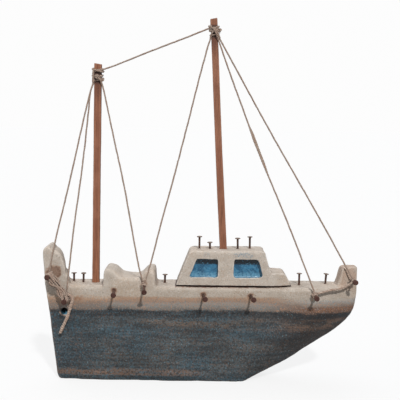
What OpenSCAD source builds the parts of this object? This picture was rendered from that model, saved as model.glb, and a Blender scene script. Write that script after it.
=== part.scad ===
// Ceramic ketch: a hollow slab-built hull with a separate cabin block,
// two strip-wood masts, flat-head nails and twine rigging on one side.
// +X points to the bow, +Z up. The origin is on the flat keel face.
// The rigged side is the -Y side.

/* [Hull] */
// Height of the deck above the keel face
deck_z = 98; // [90:1:110]
// Radius of the rounded deck edge
shoulder_r = 4; // [2:0.5:5]
// Thickness of the hull's side walls
wall = 6; // [5:0.5:7]
// Thickness of the bottom slab
floor_t = 7; // [6:0.5:9]
// Thickness of the deck slab
deck_t = 7; // [6:0.5:9]
// Radius of the kiln vent in the quarter
vent_r = 3.5; // [2.5:0.25:4]

/* [Cabin] */
// Half width of the cabin block
cabin_hw = 18.2; // [16:0.2:19]
// Height of the roof above the keel face
roof_z = 134.8; // [130:0.2:140]
// Depth of a window recess, to the clay
window_depth = 5.8; // [4:0.2:6.5]
// Thickness of the pooled window glaze
glaze_t = 0.8; // [0.5:0.1:1.2]
// Height of the dark joint under the cabin block
joint_gap = 1.1; // [0.4:0.1:1.4]

/* [Masts] */
// Mizzen mast section, fore and aft
mizzen_w = 7.2; // [6:0.1:8]
// Main mast section, fore and aft
main_w = 7; // [6:0.1:8]
// Section of both masts, athwartships
mast_d = 6; // [5:0.1:7]
// Height of the mizzen masthead above the keel face
mizzen_top = 322.8; // [280:0.2:330]
// Height of the main masthead above the keel face
main_top = 367.5; // [340:0.5:370]
// Aft rake of the main mast in degrees
main_rake = 3.18; // [0:0.02:4]

/* [Nails] */
// Radius of a nail shank
shank_r = 1.05; // [0.7:0.05:1.2]
// Radius of a nail head
head_r = 2.75; // [2:0.05:3]
// Thickness of a nail head
head_t = 0.8; // [0.6:0.1:1.2]
// Radial clearance of a shank in its hole
nail_fit = 0.05; // [0.03:0.01:0.1]

/* [Twine] */
// Diameter of a stay
stay_d = 1.5; // [1:0.1:1.8]
// Diameter of the doubled rail lashing at the bow
rail_lash_d = 2.2; // [1.8:0.1:2.6]
// Diameter of the free twine tail
tail_d = 2.8; // [1.8:0.1:3]

/* [Hidden] */
$fn = 32;

clay = [0.74, 0.70, 0.64];
blue = [0.20, 0.45, 0.60];
wood = [0.58, 0.36, 0.26];
rust = [0.38, 0.24, 0.18];
twine = [0.63, 0.55, 0.48];

// ---- hull lines, all [x, value] --------------------------------------

// half breadth at the rail
BREADTH = [[-158, 15.8], [-150, 16.6], [-133, 18], [-100, 19.5], [-40, 21],
    [40, 21.5], [95, 22.5], [117, 23], [128, 21], [138, 17.2], [146, 13.5],
    [153, 10.5], [158, 8.4], [161.8, 6]];
// lower profile: transom, keel face, forefoot and stem
KEEL = [[-158, 127], [-157.7, 117], [-157.2, 108], [-156.7, 98], [-153.8, 81],
    [-151.8, 68], [-149.3, 43], [-145.8, 17], [-144.3, 5], [-142.8, 1.2],
    [-140.8, 0], [47, 0], [49.4, 1], [53.5, 3.1], [61.7, 7.2], [72.1, 12.2],
    [84.6, 17.6], [90.8, 20.6], [97, 24.6], [109.3, 32.8], [121.7, 40.5],
    [134.1, 48.2], [140.2, 52.5], [146.3, 57.4], [152.4, 62.8], [157, 68.6],
    [159.8, 74.5], [161.2, 82], [161.8, 90]];
// upper profile above the deck: stern post, then the waist block
RISE = [[-158, 36], [-157, 37], [-155.5, 38.2], [-154, 39], [-152.6, 39],
    [-151.4, 38], [-150, 36.6], [-148, 35.2], [-146.2, 34.1], [-144, 32.6],
    [-141.8, 29.6], [-140.3, 26], [-138.4, 19], [-137.8, 12.4], [-137, 11.2],
    [-135.6, 10.8], [-134.9, 9], [-134.6, 3.5], [-133.8, 1], [-132, 0.2], [-130, 0],
    [-97.6, 0], [-97.1, 1.5], [-96.8, 8], [-96.5, 13.6], [-95.9, 15.6],
    [-94.6, 16.7], [-92.4, 17.1], [-90, 16.8], [-87.4, 15.9], [-85.3, 14.9],
    [-83.2, 13], [-81.1, 11], [-79, 9.6], [-76.5, 8.9], [-73, 8.4], [-64, 7.9],
    [-61.5, 8.6], [-58, 10.7], [-54, 14.8], [-52, 16.2], [-49, 17], [-46.8, 16.5],
    [-45.4, 15], [-44.7, 12], [-44.5, 3.5], [-44.1, 0.8], [-43.4, 0], [120, 0],
    [140, 0.8], [161.8, 1]];
// how far the bottom corner is inside the rail, and the height over
// which the side swells out to the rail's breadth
TUCK = [[-158, 1.5], [40, 1.5], [60, 6], [90, 13], [117, 16], [128, 15.5],
    [138, 12], [146, 8.5], [153, 6], [158, 4.2], [161.8, 2.5]];
SWELL = [[-158, 6], [-142, 6], [-136, 8], [30, 8], [62, 34], [128, 30],
    [150, 22], [161.8, 8]];
STATIONS = [-158, -157.7, -157.2, -157, -156.7, -155.8, -155.5, -154, -153.8,
    -152.6, -151.8, -151.4, -150, -149.3, -148, -146.2, -145.8, -144.3, -144,
    -142.8, -141.8, -140.8, -140.3, -138.4, -137.8, -137, -135.6, -134.9, -134.6,
    -133.8, -132, -130, -127, -120, -110, -97.6, -97.1, -96.8, -96.5, -95.9, -94.6,
    -92.4, -90, -87.4, -85.3, -83.2, -81.1, -79, -76.5, -73, -64, -61.5, -58, -54,
    -52, -49, -46.8, -45.4, -44.7, -44.5, -44.1, -43.4, -38, -20, 0, 20, 34, 40, 47,
    49.4, 53.5, 61.7, 62, 65, 72.1, 78, 84.6, 90.8, 97, 103, 109.3, 115, 117, 120,
    121.7, 128, 134.1, 140, 140.2, 146.3, 151, 152.4, 154, 157, 159.8, 161.2, 161.8];

// the hollow inside the hull: its side outline, and its plan
HOLLOW_SIDE = [[-136, floor_t], [34, floor_t], [52, 26], [72, 40], [100, 57],
    [125, 73], [138, 81], [142, deck_z - deck_t], [-148, deck_z - deck_t], [-145, 72]];
HOLLOW_PLAN = [[-150, 16], [-133, 17.5], [-100, 19.5], [-40, 21], [40, 21.5],
    [95, 22.5], [115, 22.5], [128, 20], [138, 16.2], [146, 12.5]];

function rail(x) = lookup(x, BREADTH);
function keel(x) = lookup(x, KEEL);
function top(x) = deck_z + lookup(x, RISE);

// half a section, from the keel up and over to the centre line
function half_section(b, zb, zt, tuck, swell, r) =
    let (zs = zt - r, h = min(swell, 0.8 * (zs - zb)), bb = max(1, b - tuck))
    concat([[0, zb], [bb, zb]],
        [for (k = [1:5]) [bb + (b - bb) * sin(18 * k), zb + h * k / 5]],
        [[b, zs]],
        [for (a = [30, 60, 90]) [b - r + r * cos(a), zs + r * sin(a)]],
        [[0, zt]]);
// the whole ring: the half, then its mirror image back down
function ring(p) = let (n = len(p))
    concat(p, [for (i = [n - 2:-1:1]) [-p[i][0], p[i][1]]]);

// a closed skin through rings of equal point count
module loft(rings) {
    n = len(rings[0]);
    m = len(rings);
    polyhedron(
        points = [for (g = rings) each g],
        faces = concat(
            [[for (i = [0:n - 1]) i]],
            [[for (i = [n - 1:-1:0]) (m - 1) * n + i]],
            [for (j = [0:m - 2], i = [0:n - 1])
                let (k = (i + 1) % n) [j * n + i, (j + 1) * n + i, (j + 1) * n + k]],
            [for (j = [0:m - 2], i = [0:n - 1])
                let (k = (i + 1) % n) [j * n + i, (j + 1) * n + k, j * n + k]]));
}
// how much the post's forward face is turned, which shifts it forward on
// the rigged side and aft on the other
TURN = [[-158, 0], [-152, 0], [-146.2, 0.155], [-134.6, 0.155], [-127, 0], [161.8, 0]];
function outer_ring(x) =
    let (zb = keel(x), zt = top(x), r = min(shoulder_r, 0.42 * (zt - zb)), t = lookup(x, TURN))
    [for (p = ring(half_section(rail(x), zb, zt, lookup(x, TUCK), lookup(x, SWELL), r)))
        [x - t * p[0] * max(0, min(1, (p[1] - 70) / 28)), p[0],
            x > 150 && p[0] == 0 && p[1] == zb ? zb - 0.5 : p[1]]];
// turns local +Z to direction d at point p
module along(p, d) {
    translate(p)
        rotate([0, acos(d[2] / norm(d)), atan2(d[1], d[0])])
            children();
}

// ---- nails: [foot point, direction, length standing out, depth in] ----
AFT_DECK = [[[-129.6, 2, deck_z], [0, 0, 1], 9.2, 9],
    [[-119.4, -1, deck_z], [0.02, 0, 1], 9.6, 9]];
MIDSHIP = [[[-35.3, 0, deck_z], [0.02, 0, 1], 9, 9]];
ROOF = [[[0, 0, roof_z], [0, 0, 1], 12.2, 7.4],
    [[11, -1, roof_z], [-0.05, 0, 1], 6.5, 7.4],
    [[39.5, 0, roof_z], [-0.02, 0, 1], 10.8, 7.4],
    [[52, 2, roof_z], [0, 0.02, 1], 12.2, 7.4]];
FOREDECK = [[[103.6, 0, deck_z], [0, 0, 1], 11.8, 9],
    [[131, 2, deck_z + 0.3], [0.07, 0, 1], 11, 9]];
STERNPOST = [[[-149.8, -16.6, 109.2], [-0.066, -1, -0.045], 18, 10]];
QUARTER = [[[-133.8, -18, 86.4], [0.01, -1, -0.085], 20, 9]];
RAIL_SIDE = [[[-86, -19.8, 93.8], [0.08, -1, -0.065], 20, 10],
    [[4.5, -21.3, 90.3], [0.095, -1, -0.03], 18.8, 10],
    [[52.3, -21.8, 90.3], [0.11, -1, -0.035], 18.3, 10]];
WAIST = [[[-55.6, -20.6, 101.3], [0.08, -1, -0.31], 19.5, 10]];
FORESIDE = [[[116.4, -23, 92], [0.04, -1, -0.06], 15, 10]];
BOW = [[[157.9, -7.6, 104.6], [-0.05, -1, 0.055], 19, 9]];

module nail(out, deep) {
    union() {
        translate([0, 0, -deep]) cylinder(r = shank_r, h = deep + out - head_t);
        translate([0, 0, out - head_t]) cylinder(r = head_r, h = head_t);
        translate([0, 0, out - head_t - 0.7])
            cylinder(r1 = shank_r + 0.01, r2 = 1.9, h = 0.71);
    }
}
module nails(list) color(rust) for (n = list) along(n[0], n[1]) nail(n[2], n[3]);
module nail_holes(list)
    for (n = list) along(n[0], n[1])
        translate([0, 0, -n[3] - 0.3]) cylinder(r = shank_r + nail_fit, h = n[3] + 6);

// ---- clay ---------------------------------------------------------------
module bow_post() intersection() {
    translate([0, 30, 0]) rotate([90, 0, 0]) linear_extrude(60)
        polygon([[142, deck_z - 6], [141.2, deck_z + 0.6], [142.6, deck_z + 4],
            [144, deck_z + 8], [145, deck_z + 13], [145.8, deck_z + 16.6],
            [147.2, deck_z + 18.8], [149.5, deck_z + 19.8], [152, deck_z + 20],
            [160.8, deck_z + 19.6], [161.3, deck_z + 19.3], [161.5, deck_z + 18.6],
            [161.5, deck_z - 1.5], [157, deck_z - 6]]);
    linear_extrude(130)
        polygon([[140, -8.6], [141.6, -10], [144, -10.4], [150, -9.6], [157, -7.9],
            [160.6, -6.4], [162, -5], [162, 5], [160.6, 6.4], [157, 7.9],
            [150, 9.6], [144, 10.4], [141.6, 10], [140, 8.6]]);
    translate([130, 0, 0]) rotate([90, 0, 90]) linear_extrude(40)
        polygon([[-12, 0], [12, 0], [12, deck_z + 14], [9.4, deck_z + 18.4],
            [7.4, deck_z + 20.4], [4.6, deck_z + 21.4], [-4.6, deck_z + 21.4],
            [-7.4, deck_z + 20.4], [-9.4, deck_z + 18.4], [-12, deck_z + 14]]);
}
module hollow() difference() {
    intersection() {
        translate([0, 40, 0]) rotate([90, 0, 0]) linear_extrude(80) polygon(HOLLOW_SIDE);
        linear_extrude(deck_z) polygon(concat(
            [for (p = HOLLOW_PLAN) [p[0], wall - p[1]]],
            [for (i = [len(HOLLOW_PLAN) - 1:-1:0]) [HOLLOW_PLAN[i][0], HOLLOW_PLAN[i][1] - wall]]));
    }
    translate([-106, 0, deck_z - 18]) cylinder(r = 9, h = 30);
}
module boat_hull() color(clay) difference() {
    union() {
        loft([for (x = STATIONS) outer_ring(x)]);
        bow_post();
    }
    hollow();
    mizzen_spar(0.1, 84);
    translate([-136.6, -4, 71]) rotate([90, 0, 0]) cylinder(r = vent_r, h = 24);
    nail_holes(AFT_DECK);
    nail_holes(MIDSHIP);
    nail_holes(FOREDECK);
    nail_holes(STERNPOST);
    nail_holes(QUARTER);
    nail_holes(RAIL_SIDE);
    nail_holes(WAIST);
    nail_holes(FORESIDE);
    nail_holes(BOW);
}

// side outline of the cabin block, with its foredeck step
CABIN_SIDE = [[-24, deck_z], [-11.6, 129], [-10.4, 132], [-8.6, 133.6],
    [-6, 134.2], [22, roof_z - 0.3], [62.4, roof_z], [64.8, 134.2], [66.6, 132.6],
    [72.1, 114.6], [73, 112.8], [74.6, 111.9], [84.4, 111.8], [86.4, 111.4],
    [87.7, 110.3], [90.8, 105.4], [94, deck_z]];
AFT_WINDOW = [[-2.4, 126.2], [17.6, 126], [18.8, 125.2], [19.2, 124], [19, 108.6],
    [18, 107.6], [-9, 107.4], [-9.8, 108]];
FORE_WINDOW = [[35.4, 126.1], [57.6, 126.2], [59.4, 125.6], [61.2, 122], [64.2, 110],
    [63.6, 108.8], [61.8, 108], [37.4, 107.4], [35.4, 108], [34.8, 110]];

module cabin() color(clay) difference() {
    intersection() {
        translate([0, 30, 0]) rotate([90, 0, 0]) linear_extrude(60) polygon(CABIN_SIDE);
        linear_extrude(140)
            polygon([[-26, -cabin_hw + 1], [-22, -cabin_hw], [68, -cabin_hw],
                [76, -cabin_hw + 0.8], [86, -cabin_hw + 3], [92, -cabin_hw + 5.2],
                [94, -cabin_hw + 7], [94, cabin_hw - 7], [92, cabin_hw - 5.2],
                [86, cabin_hw - 3], [76, cabin_hw - 0.8], [68, cabin_hw],
                [-22, cabin_hw], [-26, cabin_hw - 1]]);
        translate([-30, 0, 0]) rotate([90, 0, 90]) linear_extrude(130)
            polygon(concat([[-cabin_hw, 0], [cabin_hw, 0]],
                [for (a = [0:22.5:90]) [cabin_hw - 3 + 3 * cos(a), roof_z - 3 + 3 * sin(a)]],
                [for (a = [90:22.5:180]) [-cabin_hw + 3 + 3 * cos(a), roof_z - 3 + 3 * sin(a)]]));
    }
    // the block stands on an inset foot, which leaves the dark joint line
    difference() {
        translate([-40, -30, deck_z - 1]) cube([150, 60, 1 + joint_gap]);
        translate([-20.6, -cabin_hw + 2.4, deck_z - 2]) cube([104, 2 * cabin_hw - 4.8, 4]);
    }
    // hollow, open below
    translate([-8, -9.5, deck_z - 2]) cube([66, 19, 29.5]);
    for (side = [-1, 1], w = [AFT_WINDOW, FORE_WINDOW])
        translate([0, side > 0 ? cabin_hw + 1 : -cabin_hw + window_depth, 0])
            rotate([90, 0, 0]) linear_extrude(window_depth + 1) polygon(w);
    main_spar(0.1, deck_z + 0.05);
    nail_holes(ROOF);
}
module window_glaze() color(blue)
    for (side = [-1, 1], w = [AFT_WINDOW, FORE_WINDOW])
        translate([0, side > 0 ? cabin_hw - window_depth + glaze_t : -cabin_hw + window_depth, 0])
            rotate([90, 0, 0]) linear_extrude(glaze_t) polygon(w);

// ---- masts ----------------------------------------------------------------
module spar(x, w, z0, z1, rake, grow) intersection() {
    translate([x, 0, z0]) rotate([0, -rake, 0])
        translate([-w / 2 - grow, -mast_d / 2 - grow, -60])
            cube([w + 2 * grow, mast_d + 2 * grow, z1 - z0 + 80]);
    translate([x - 60, -30, z0]) cube([120, 60, z1 - z0]);
}
module mizzen_spar(grow, foot) spar(-106.8, mizzen_w, foot, mizzen_top + grow, -0.58, grow);
module main_spar(grow, foot)
    spar(24.6 + (134 - foot) * tan(main_rake), main_w, foot, main_top, main_rake, grow);
module mizzen_mast() color(wood) difference() {
    mizzen_spar(0, 84.2);
    translate([-104.4, 0, mizzen_top - 0.7]) rotate([4, 2, 0])
        translate([-15, -15, 0]) cube([30, 30, 8]);
}
module main_mast() color(wood) difference() {
    main_spar(0, deck_z + 0.1);
    translate([12, 0, main_top - 1.4]) rotate([-4, -10, 0])
        translate([-15, -15, 0]) cube([30, 30, 8]);
}

// ---- twine ------------------------------------------------------------------
function unit(v) = v / norm(v);
function tangent(p, i, closed) = let (n = len(p))
    closed ? unit(p[(i + 1) % n] - p[(i + n - 1) % n])
    : unit(p[min(i + 1, n - 1)] - p[max(i - 1, 0)]);
// a round cord of diameter d swept through the points p; ref is any
// direction that the cord never runs along
module cord(p, d, ref = [0, 1, 0], closed = false) {
    n = len(p);
    s = 8;
    pts = [for (i = [0:n - 1])
        let (t = tangent(p, i, closed), u = unit(cross(t, ref)), v = cross(t, u))
        for (k = [0:s - 1]) p[i] + d / 2 * (cos(360 * k / s) * u + sin(360 * k / s) * v)];
    last = closed ? n - 1 : n - 2;
    polyhedron(points = pts, faces = concat(
        [for (i = [0:last], k = [0:s - 1])
            let (j = (i + 1) % n, q = (k + 1) % s) [i * s + k, j * s + k, j * s + q]],
        [for (i = [0:last], k = [0:s - 1])
            let (j = (i + 1) % n, q = (k + 1) % s) [i * s + k, j * s + q, i * s + q]],
        closed ? [] : [[for (k = [0:s - 1]) k], [for (k = [s - 1:-1:0]) (n - 1) * s + k]]));
}

// routes of the stays, masthead first
TRIATIC = [[-101.2, -3.9, 314.6], [-90, -3.9, 318.4], [-47, -3.9, 335.7], [-8, -3.9, 351], [7.9, -3.9, 357.6]];
M_BACKSTAY = [[-108.2, -3.9, 304], [-111, -5.3, 294.6], [-115.9, -7, 274.6], [-133.4, -13.6, 194.2],
    [-142.8, -17.4, 153.9], [-146.6, -18.8, 136.8], [-150, -20, 118], [-150.6, -20.3, 111]];
M_QUARTER = [[-108.2, -3.9, 302], [-111.1, -5, 294.7], [-113.2, -6.5, 274.6], [-117.1, -9.6, 234.5],
    [-121.7, -14, 194.4], [-126.8, -18.8, 154.4], [-129.3, -21, 129.3], [-131.2, -22, 112], [-133.3, -23.4, 88.2]];
M_FORESTAY = [[-100.4, -3.9, 302], [-99.2, -4.4, 298.6], [-89.8, -8.2, 257.2], [-76, -14, 196.1],
    [-59.8, -22, 114.6], [-56, -24, 103.4]];
BACKSTAY = [[9.3, -3.9, 349.6], [7.8, -4.4, 345], [2.4, -5.4, 325.8], [-14.8, -9.6, 255.8],
    [-24.7, -12.8, 215.6], [-35.3, -16.6, 175.5], [-40.5, -18.6, 155.4], [-50, -22.6, 117.4], [-54.4, -25.3, 103.2]];
FORESTAY = [[14.7, -3.9, 350], [16.6, -4.4, 345.5], [23.7, -5.8, 326], [34.7, -7.6, 296.3], [50, -10.4, 256.6],
    [66, -13.8, 216.8], [91.2, -19.6, 157.1], [114.6, -25.8, 98.6], [116.4, -26.6, 94]];
BOWSTAY = [[15.7, -3.9, 350.6], [18.3, -4.2, 346], [29.6, -4.6, 326.2], [69, -6.8, 256.8],
    [116.5, -9.6, 176.6], [141.5, -12, 133.2], [153.6, -13, 111.6], [156, -13.4, 107.6]];
RAIL_LASH = [[119, -26.2, 93.8], [126.6, -25.4, 95.7], [132.9, -23.8, 97.1],
    [138.1, -22.3, 97.6], [143.4, -20.6, 98.4], [148.8, -18.6, 100],
    [153.7, -16.2, 102.6], [157.1, -14.6, 105.4]];
TAIL = [[-133.4, -20.4, 88.6], [-131.2, -20.6, 88.3], [-129, -20.7, 86.6], [-127.9, -20.8, 83.6],
    [-128.5, -20.8, 80.2], [-129.4, -20.7, 76.6], [-130.6, -20.6, 72.6], [-132.2, -20.5, 67.6],
    [-134.2, -20.4, 62.8], [-136.4, -20.3, 58], [-138.5, -20.2, 53.4], [-140.2, -20.2, 49]];

// n turns of twine laid side by side on a nail shank, first turn at s
module turns(n, s, count, d = stay_d, gap = 0.04) color(twine)
    along(n[0], n[1]) rotate_extrude()
        for (k = [0:count - 1])
            translate([shank_r + gap + d / 2, s + k * d * 0.86]) circle(d = d);

// a band of twine round a rectangular spar, tilted fore and aft and
// athwartships
function band(x, z, w, tx, ty) = let (a = w / 2 + stay_d / 2, b = mast_d / 2 + stay_d / 2)
    [for (q = [[-a, -b + 1], [-a + 1, -b], [0, -b], [a - 1, -b], [a, -b + 1], [a, 0],
            [a, b - 1], [a - 1, b], [0, b], [-a + 1, b], [-a, b - 1], [-a, 0]])
        [x + q[0], q[1], z + q[0] * tx + q[1] * ty]];
module band_on(x, z, w, tx, ty) cord(band(x, z, w, tx, ty), stay_d, [0, 0, 1], true);

module knot(p, r) translate(p) hull() {
    sphere(r = r, $fn = 12);
    translate([0.3 * r, 0, -0.5 * r]) sphere(r = 0.9 * r, $fn = 12);
}
module mizzen_masthead_lashing() color(twine) {
    band_on(-104.4, 313.6, mizzen_w, 0.3, 0.05);
    band_on(-104.4, 308.4, mizzen_w, -0.25, 0.1);
    band_on(-104.5, 303.4, mizzen_w, 0.2, 0.1);
    knot([-98.1, -2.6, 305.8], 1.5);
}
module main_masthead_lashing() color(twine) {
    band_on(12.2, 359, main_w, 0.3, 0.05);
    band_on(12.4, 354.6, main_w, 0.3, 0.05);
    band_on(12.6, 349.8, main_w, 0.2, 0.1);
    knot([18.9, -2.6, 353.4], 1.5);
}

// a belt of twine round two nail shanks: c1, c2 are the shank centres
function belt(c1, c2, r) = let (e = unit(c2 - c1), n = unit(cross(e, [0, 1, 0])))
    concat([for (a = [-90:30:90]) c2 + r * (cos(a) * e + sin(a) * n)],
        [c2 + (c1 - c2) / 2 + 1.2 * r * n],
        [for (a = [90:30:270]) c1 + r * (cos(a) * e + sin(a) * n)],
        [c1 + (c2 - c1) / 2 - 1.2 * r * n]);
module stern_lashing() color(twine)
    for (k = [0:2])
        cord(belt(STERNPOST[0][0] + (6.8 + 1.8 * k) * unit(STERNPOST[0][1]),
            QUARTER[0][0] + (8.9 + 1.8 * k) * unit(QUARTER[0][1]),
            shank_r + stay_d / 2 + 0.15), stay_d, [0, 1, 0], true);

module tail_loop() turns(QUARTER[0], 2.4, 1, 1.6, 0.08);

boat_hull();  // hull
cabin();
window_glaze();
mizzen_mast();
main_mast();
nails(AFT_DECK);  // aft_deck_nails
nails(MIDSHIP);  // midship_deck_nail
nails(ROOF);  // cabin_roof_nails
nails(FOREDECK);  // foredeck_nails
nails(STERNPOST);  // sternpost_nail
nails(QUARTER);  // quarter_nail
nails(RAIL_SIDE);  // rail_nails
nails(WAIST);  // waist_nail
nails(FORESIDE);  // foreside_nail
nails(BOW);  // bow_nail
color(twine) cord(TRIATIC, stay_d);  // triatic_stay
color(twine) cord(M_BACKSTAY, stay_d);  // mizzen_backstay
color(twine) cord(M_QUARTER, stay_d);  // mizzen_quarter_stay
color(twine) cord(M_FORESTAY, stay_d);  // mizzen_forestay
color(twine) cord(BACKSTAY, stay_d);  // main_backstay
color(twine) cord(FORESTAY, stay_d);  // main_forestay
color(twine) cord(BOWSTAY, stay_d);  // main_bow_stay
mizzen_masthead_lashing();
main_masthead_lashing();
turns(STERNPOST[0], 2.4, 3);  // sternpost_turns
turns(QUARTER[0], 4.7, 3);  // quarter_turns
turns(WAIST[0], 2.6, 3);  // waist_turns
turns(FORESIDE[0], 2.4, 3);  // foreside_turns
turns(BOW[0], 4.4, 3);  // bow_turns
stern_lashing();
color(twine) cord(RAIL_LASH, rail_lash_d);  // bow_rail_lashing
tail_loop();
color(twine) cord(TAIL, tail_d);  // twine_tail
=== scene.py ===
import math

import bmesh
import bpy
import numpy as np
from mathutils import Matrix, Vector


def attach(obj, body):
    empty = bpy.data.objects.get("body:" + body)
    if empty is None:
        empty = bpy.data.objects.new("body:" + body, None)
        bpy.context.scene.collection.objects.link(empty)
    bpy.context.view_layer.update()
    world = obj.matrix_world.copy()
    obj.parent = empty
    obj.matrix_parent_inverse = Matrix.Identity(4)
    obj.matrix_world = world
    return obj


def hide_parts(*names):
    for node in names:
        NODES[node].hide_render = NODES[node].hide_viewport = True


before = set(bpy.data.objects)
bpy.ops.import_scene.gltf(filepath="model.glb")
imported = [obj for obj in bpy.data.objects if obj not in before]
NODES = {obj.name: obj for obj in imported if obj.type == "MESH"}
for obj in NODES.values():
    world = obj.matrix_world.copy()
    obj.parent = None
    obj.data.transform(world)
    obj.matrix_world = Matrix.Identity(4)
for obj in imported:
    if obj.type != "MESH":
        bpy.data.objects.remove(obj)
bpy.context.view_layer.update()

MM = 0.001
scene = bpy.context.scene
scene.view_settings.view_transform = "Standard"
scene.view_settings.look = "None"

# ---------------------------------------------------------------- camera
cam_data = bpy.data.cameras.new("camera")
cam_data.lens = 72
cam_data.sensor_width = 36
cam_data.clip_end = 60
cam = bpy.data.objects.new("camera", cam_data)
scene.collection.objects.link(cam)
cam.matrix_world = (
    Matrix.Translation((0, -0.8163, 0.2630))
    @ Matrix.Rotation(math.radians(90 - 5.5), 4, "X")
    @ Matrix.Rotation(math.radians(0.7), 4, "Z")
)
scene.camera = cam

# ---------------------------------------------------------------- numbers, in mm
DECK = 98.0
ROOF = 134.8
HW = 18.2
SHANK, HEAD, HEAD_T = 1.05, 2.75, 0.85
STAY, RAIL_D, TAIL_D = 1.5, 2.2, 2.8
MAST_D = 6.0
MIZZEN_W, MAIN_W = 7.2, 7.0
MIZZEN_TOP, MAIN_TOP, RAKE = 322.8, 367.5, 3.18

BREADTH = [[-158, 15.8], [-150, 16.6], [-133, 18], [-100, 19.5], [-40, 21],
    [40, 21.5], [95, 22.5], [117, 23], [128, 21], [138, 17.2], [146, 13.5],
    [153, 10.5], [158, 8.4], [161.8, 6]]
KEEL = [[-158, 127], [-157.7, 117], [-157.2, 108], [-156.7, 98], [-153.8, 81],
    [-151.8, 68], [-149.3, 43], [-145.8, 17], [-144.3, 5], [-142.8, 1.2],
    [-140.8, 0], [47, 0], [49.4, 1], [53.5, 3.1], [61.7, 7.2], [72.1, 12.2],
    [84.6, 17.6], [90.8, 20.6], [97, 24.6], [109.3, 32.8], [121.7, 40.5],
    [134.1, 48.2], [140.2, 52.5], [146.3, 57.4], [152.4, 62.8], [157, 68.6],
    [159.8, 74.5], [161.2, 82], [161.8, 90]]
RISE = [[-158, 36], [-157, 37], [-155.5, 38.2], [-154, 39], [-152.6, 39],
    [-151.4, 38], [-150, 36.6], [-148, 35.2], [-146.2, 34.1], [-144, 32.6],
    [-141.8, 29.6], [-140.3, 26], [-138.4, 19], [-137.8, 12.4], [-137, 11.2],
    [-135.6, 10.8], [-134.9, 9], [-134.6, 3.5], [-133.8, 1], [-132, 0.2], [-130, 0],
    [-97.6, 0], [-97.1, 1.5], [-96.8, 8], [-96.5, 13.6], [-95.9, 15.6],
    [-94.6, 16.7], [-92.4, 17.1], [-90, 16.8], [-87.4, 15.9], [-85.3, 14.9],
    [-83.2, 13], [-81.1, 11], [-79, 9.6], [-76.5, 8.9], [-73, 8.4], [-64, 7.9],
    [-61.5, 8.6], [-58, 10.7], [-54, 14.8], [-52, 16.2], [-49, 17], [-46.8, 16.5],
    [-45.4, 15], [-44.7, 12], [-44.5, 3.5], [-44.1, 0.8], [-43.4, 0], [120, 0],
    [140, 0.8], [161.8, 1]]
TUCK = [[-158, 1.5], [40, 1.5], [60, 6], [90, 13], [117, 16], [128, 15.5],
    [138, 12], [146, 8.5], [153, 6], [158, 4.2], [161.8, 2.5]]
SWELL = [[-158, 6], [-142, 6], [-136, 8], [30, 8], [62, 34], [128, 30],
    [150, 22], [161.8, 8]]
STATIONS = [-158, -157.7, -157.2, -157, -156.7, -155.8, -155.5, -154, -153.8,
    -152.6, -151.8, -151.4, -150, -149.3, -148, -146.2, -145.8, -144.3, -144,
    -142.8, -141.8, -140.8, -140.3, -138.4, -137.8, -137, -135.6, -134.9, -134.6,
    -133.8, -132, -130, -127, -120, -110, -97.6, -97.1, -96.8, -96.5, -95.9, -94.6,
    -92.4, -90, -87.4, -85.3, -83.2, -81.1, -79, -76.5, -73, -64, -61.5, -58, -54,
    -52, -49, -46.8, -45.4, -44.7, -44.5, -44.1, -43.4, -38, -20, 0, 20, 34, 40, 47,
    49.4, 53.5, 61.7, 62, 65, 72.1, 78, 84.6, 90.8, 97, 103, 109.3, 115, 117, 120,
    121.7, 128, 134.1, 140, 140.2, 146.3, 151, 152.4, 154, 157, 159.8, 161.2, 161.8]
TURN = [[-158, 0], [-152, 0], [-146.2, 0.155], [-134.6, 0.155], [-127, 0], [161.8, 0]]
AFT_WINDOW = [[-2.4, 126.2], [17.6, 126], [18.8, 125.2], [19.2, 124], [19, 108.6],
    [18, 107.6], [-9, 107.4], [-9.8, 108]]
FORE_WINDOW = [[35.4, 126.1], [57.6, 126.2], [59.4, 125.6], [61.2, 122], [64.2, 110],
    [63.6, 108.8], [61.8, 108], [37.4, 107.4], [35.4, 108], [34.8, 110]]

# nails: foot, direction, length standing out, depth in
NAILS = {
    "aft_deck_nails": [[[-129.6, 2, DECK], [0, 0, 1], 9.2, 9],
        [[-119.4, -1, DECK], [0.02, 0, 1], 9.6, 9]],
    "midship_deck_nail": [[[-35.3, 0, DECK], [0.02, 0, 1], 9, 9]],
    "cabin_roof_nails": [[[0, 0, ROOF], [0, 0, 1], 12.2, 7.4],
        [[11, -1, ROOF], [-0.05, 0, 1], 6.5, 7.4],
        [[39.5, 0, ROOF], [-0.02, 0, 1], 10.8, 7.4],
        [[52, 2, ROOF], [0, 0.02, 1], 12.2, 7.4]],
    "foredeck_nails": [[[103.6, 0, DECK], [0, 0, 1], 11.8, 9],
        [[131, 2, DECK + 0.3], [0.07, 0, 1], 11, 9]],
    "sternpost_nail": [[[-149.8, -16.6, 109.2], [-0.066, -1, -0.045], 18, 10]],
    "quarter_nail": [[[-133.8, -18, 86.4], [0.01, -1, -0.085], 20, 9]],
    "rail_nails": [[[-86, -19.8, 93.8], [0.08, -1, -0.065], 20, 10],
        [[4.5, -21.3, 90.3], [0.095, -1, -0.03], 18.8, 10],
        [[52.3, -21.8, 90.3], [0.11, -1, -0.035], 18.3, 10]],
    "waist_nail": [[[-55.6, -20.6, 101.3], [0.08, -1, -0.31], 19.5, 10]],
    "foreside_nail": [[[116.4, -23, 92], [0.04, -1, -0.06], 15, 10]],
    "bow_nail": [[[157.9, -7.6, 104.6], [-0.05, -1, 0.055], 19, 9]],
}
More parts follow.
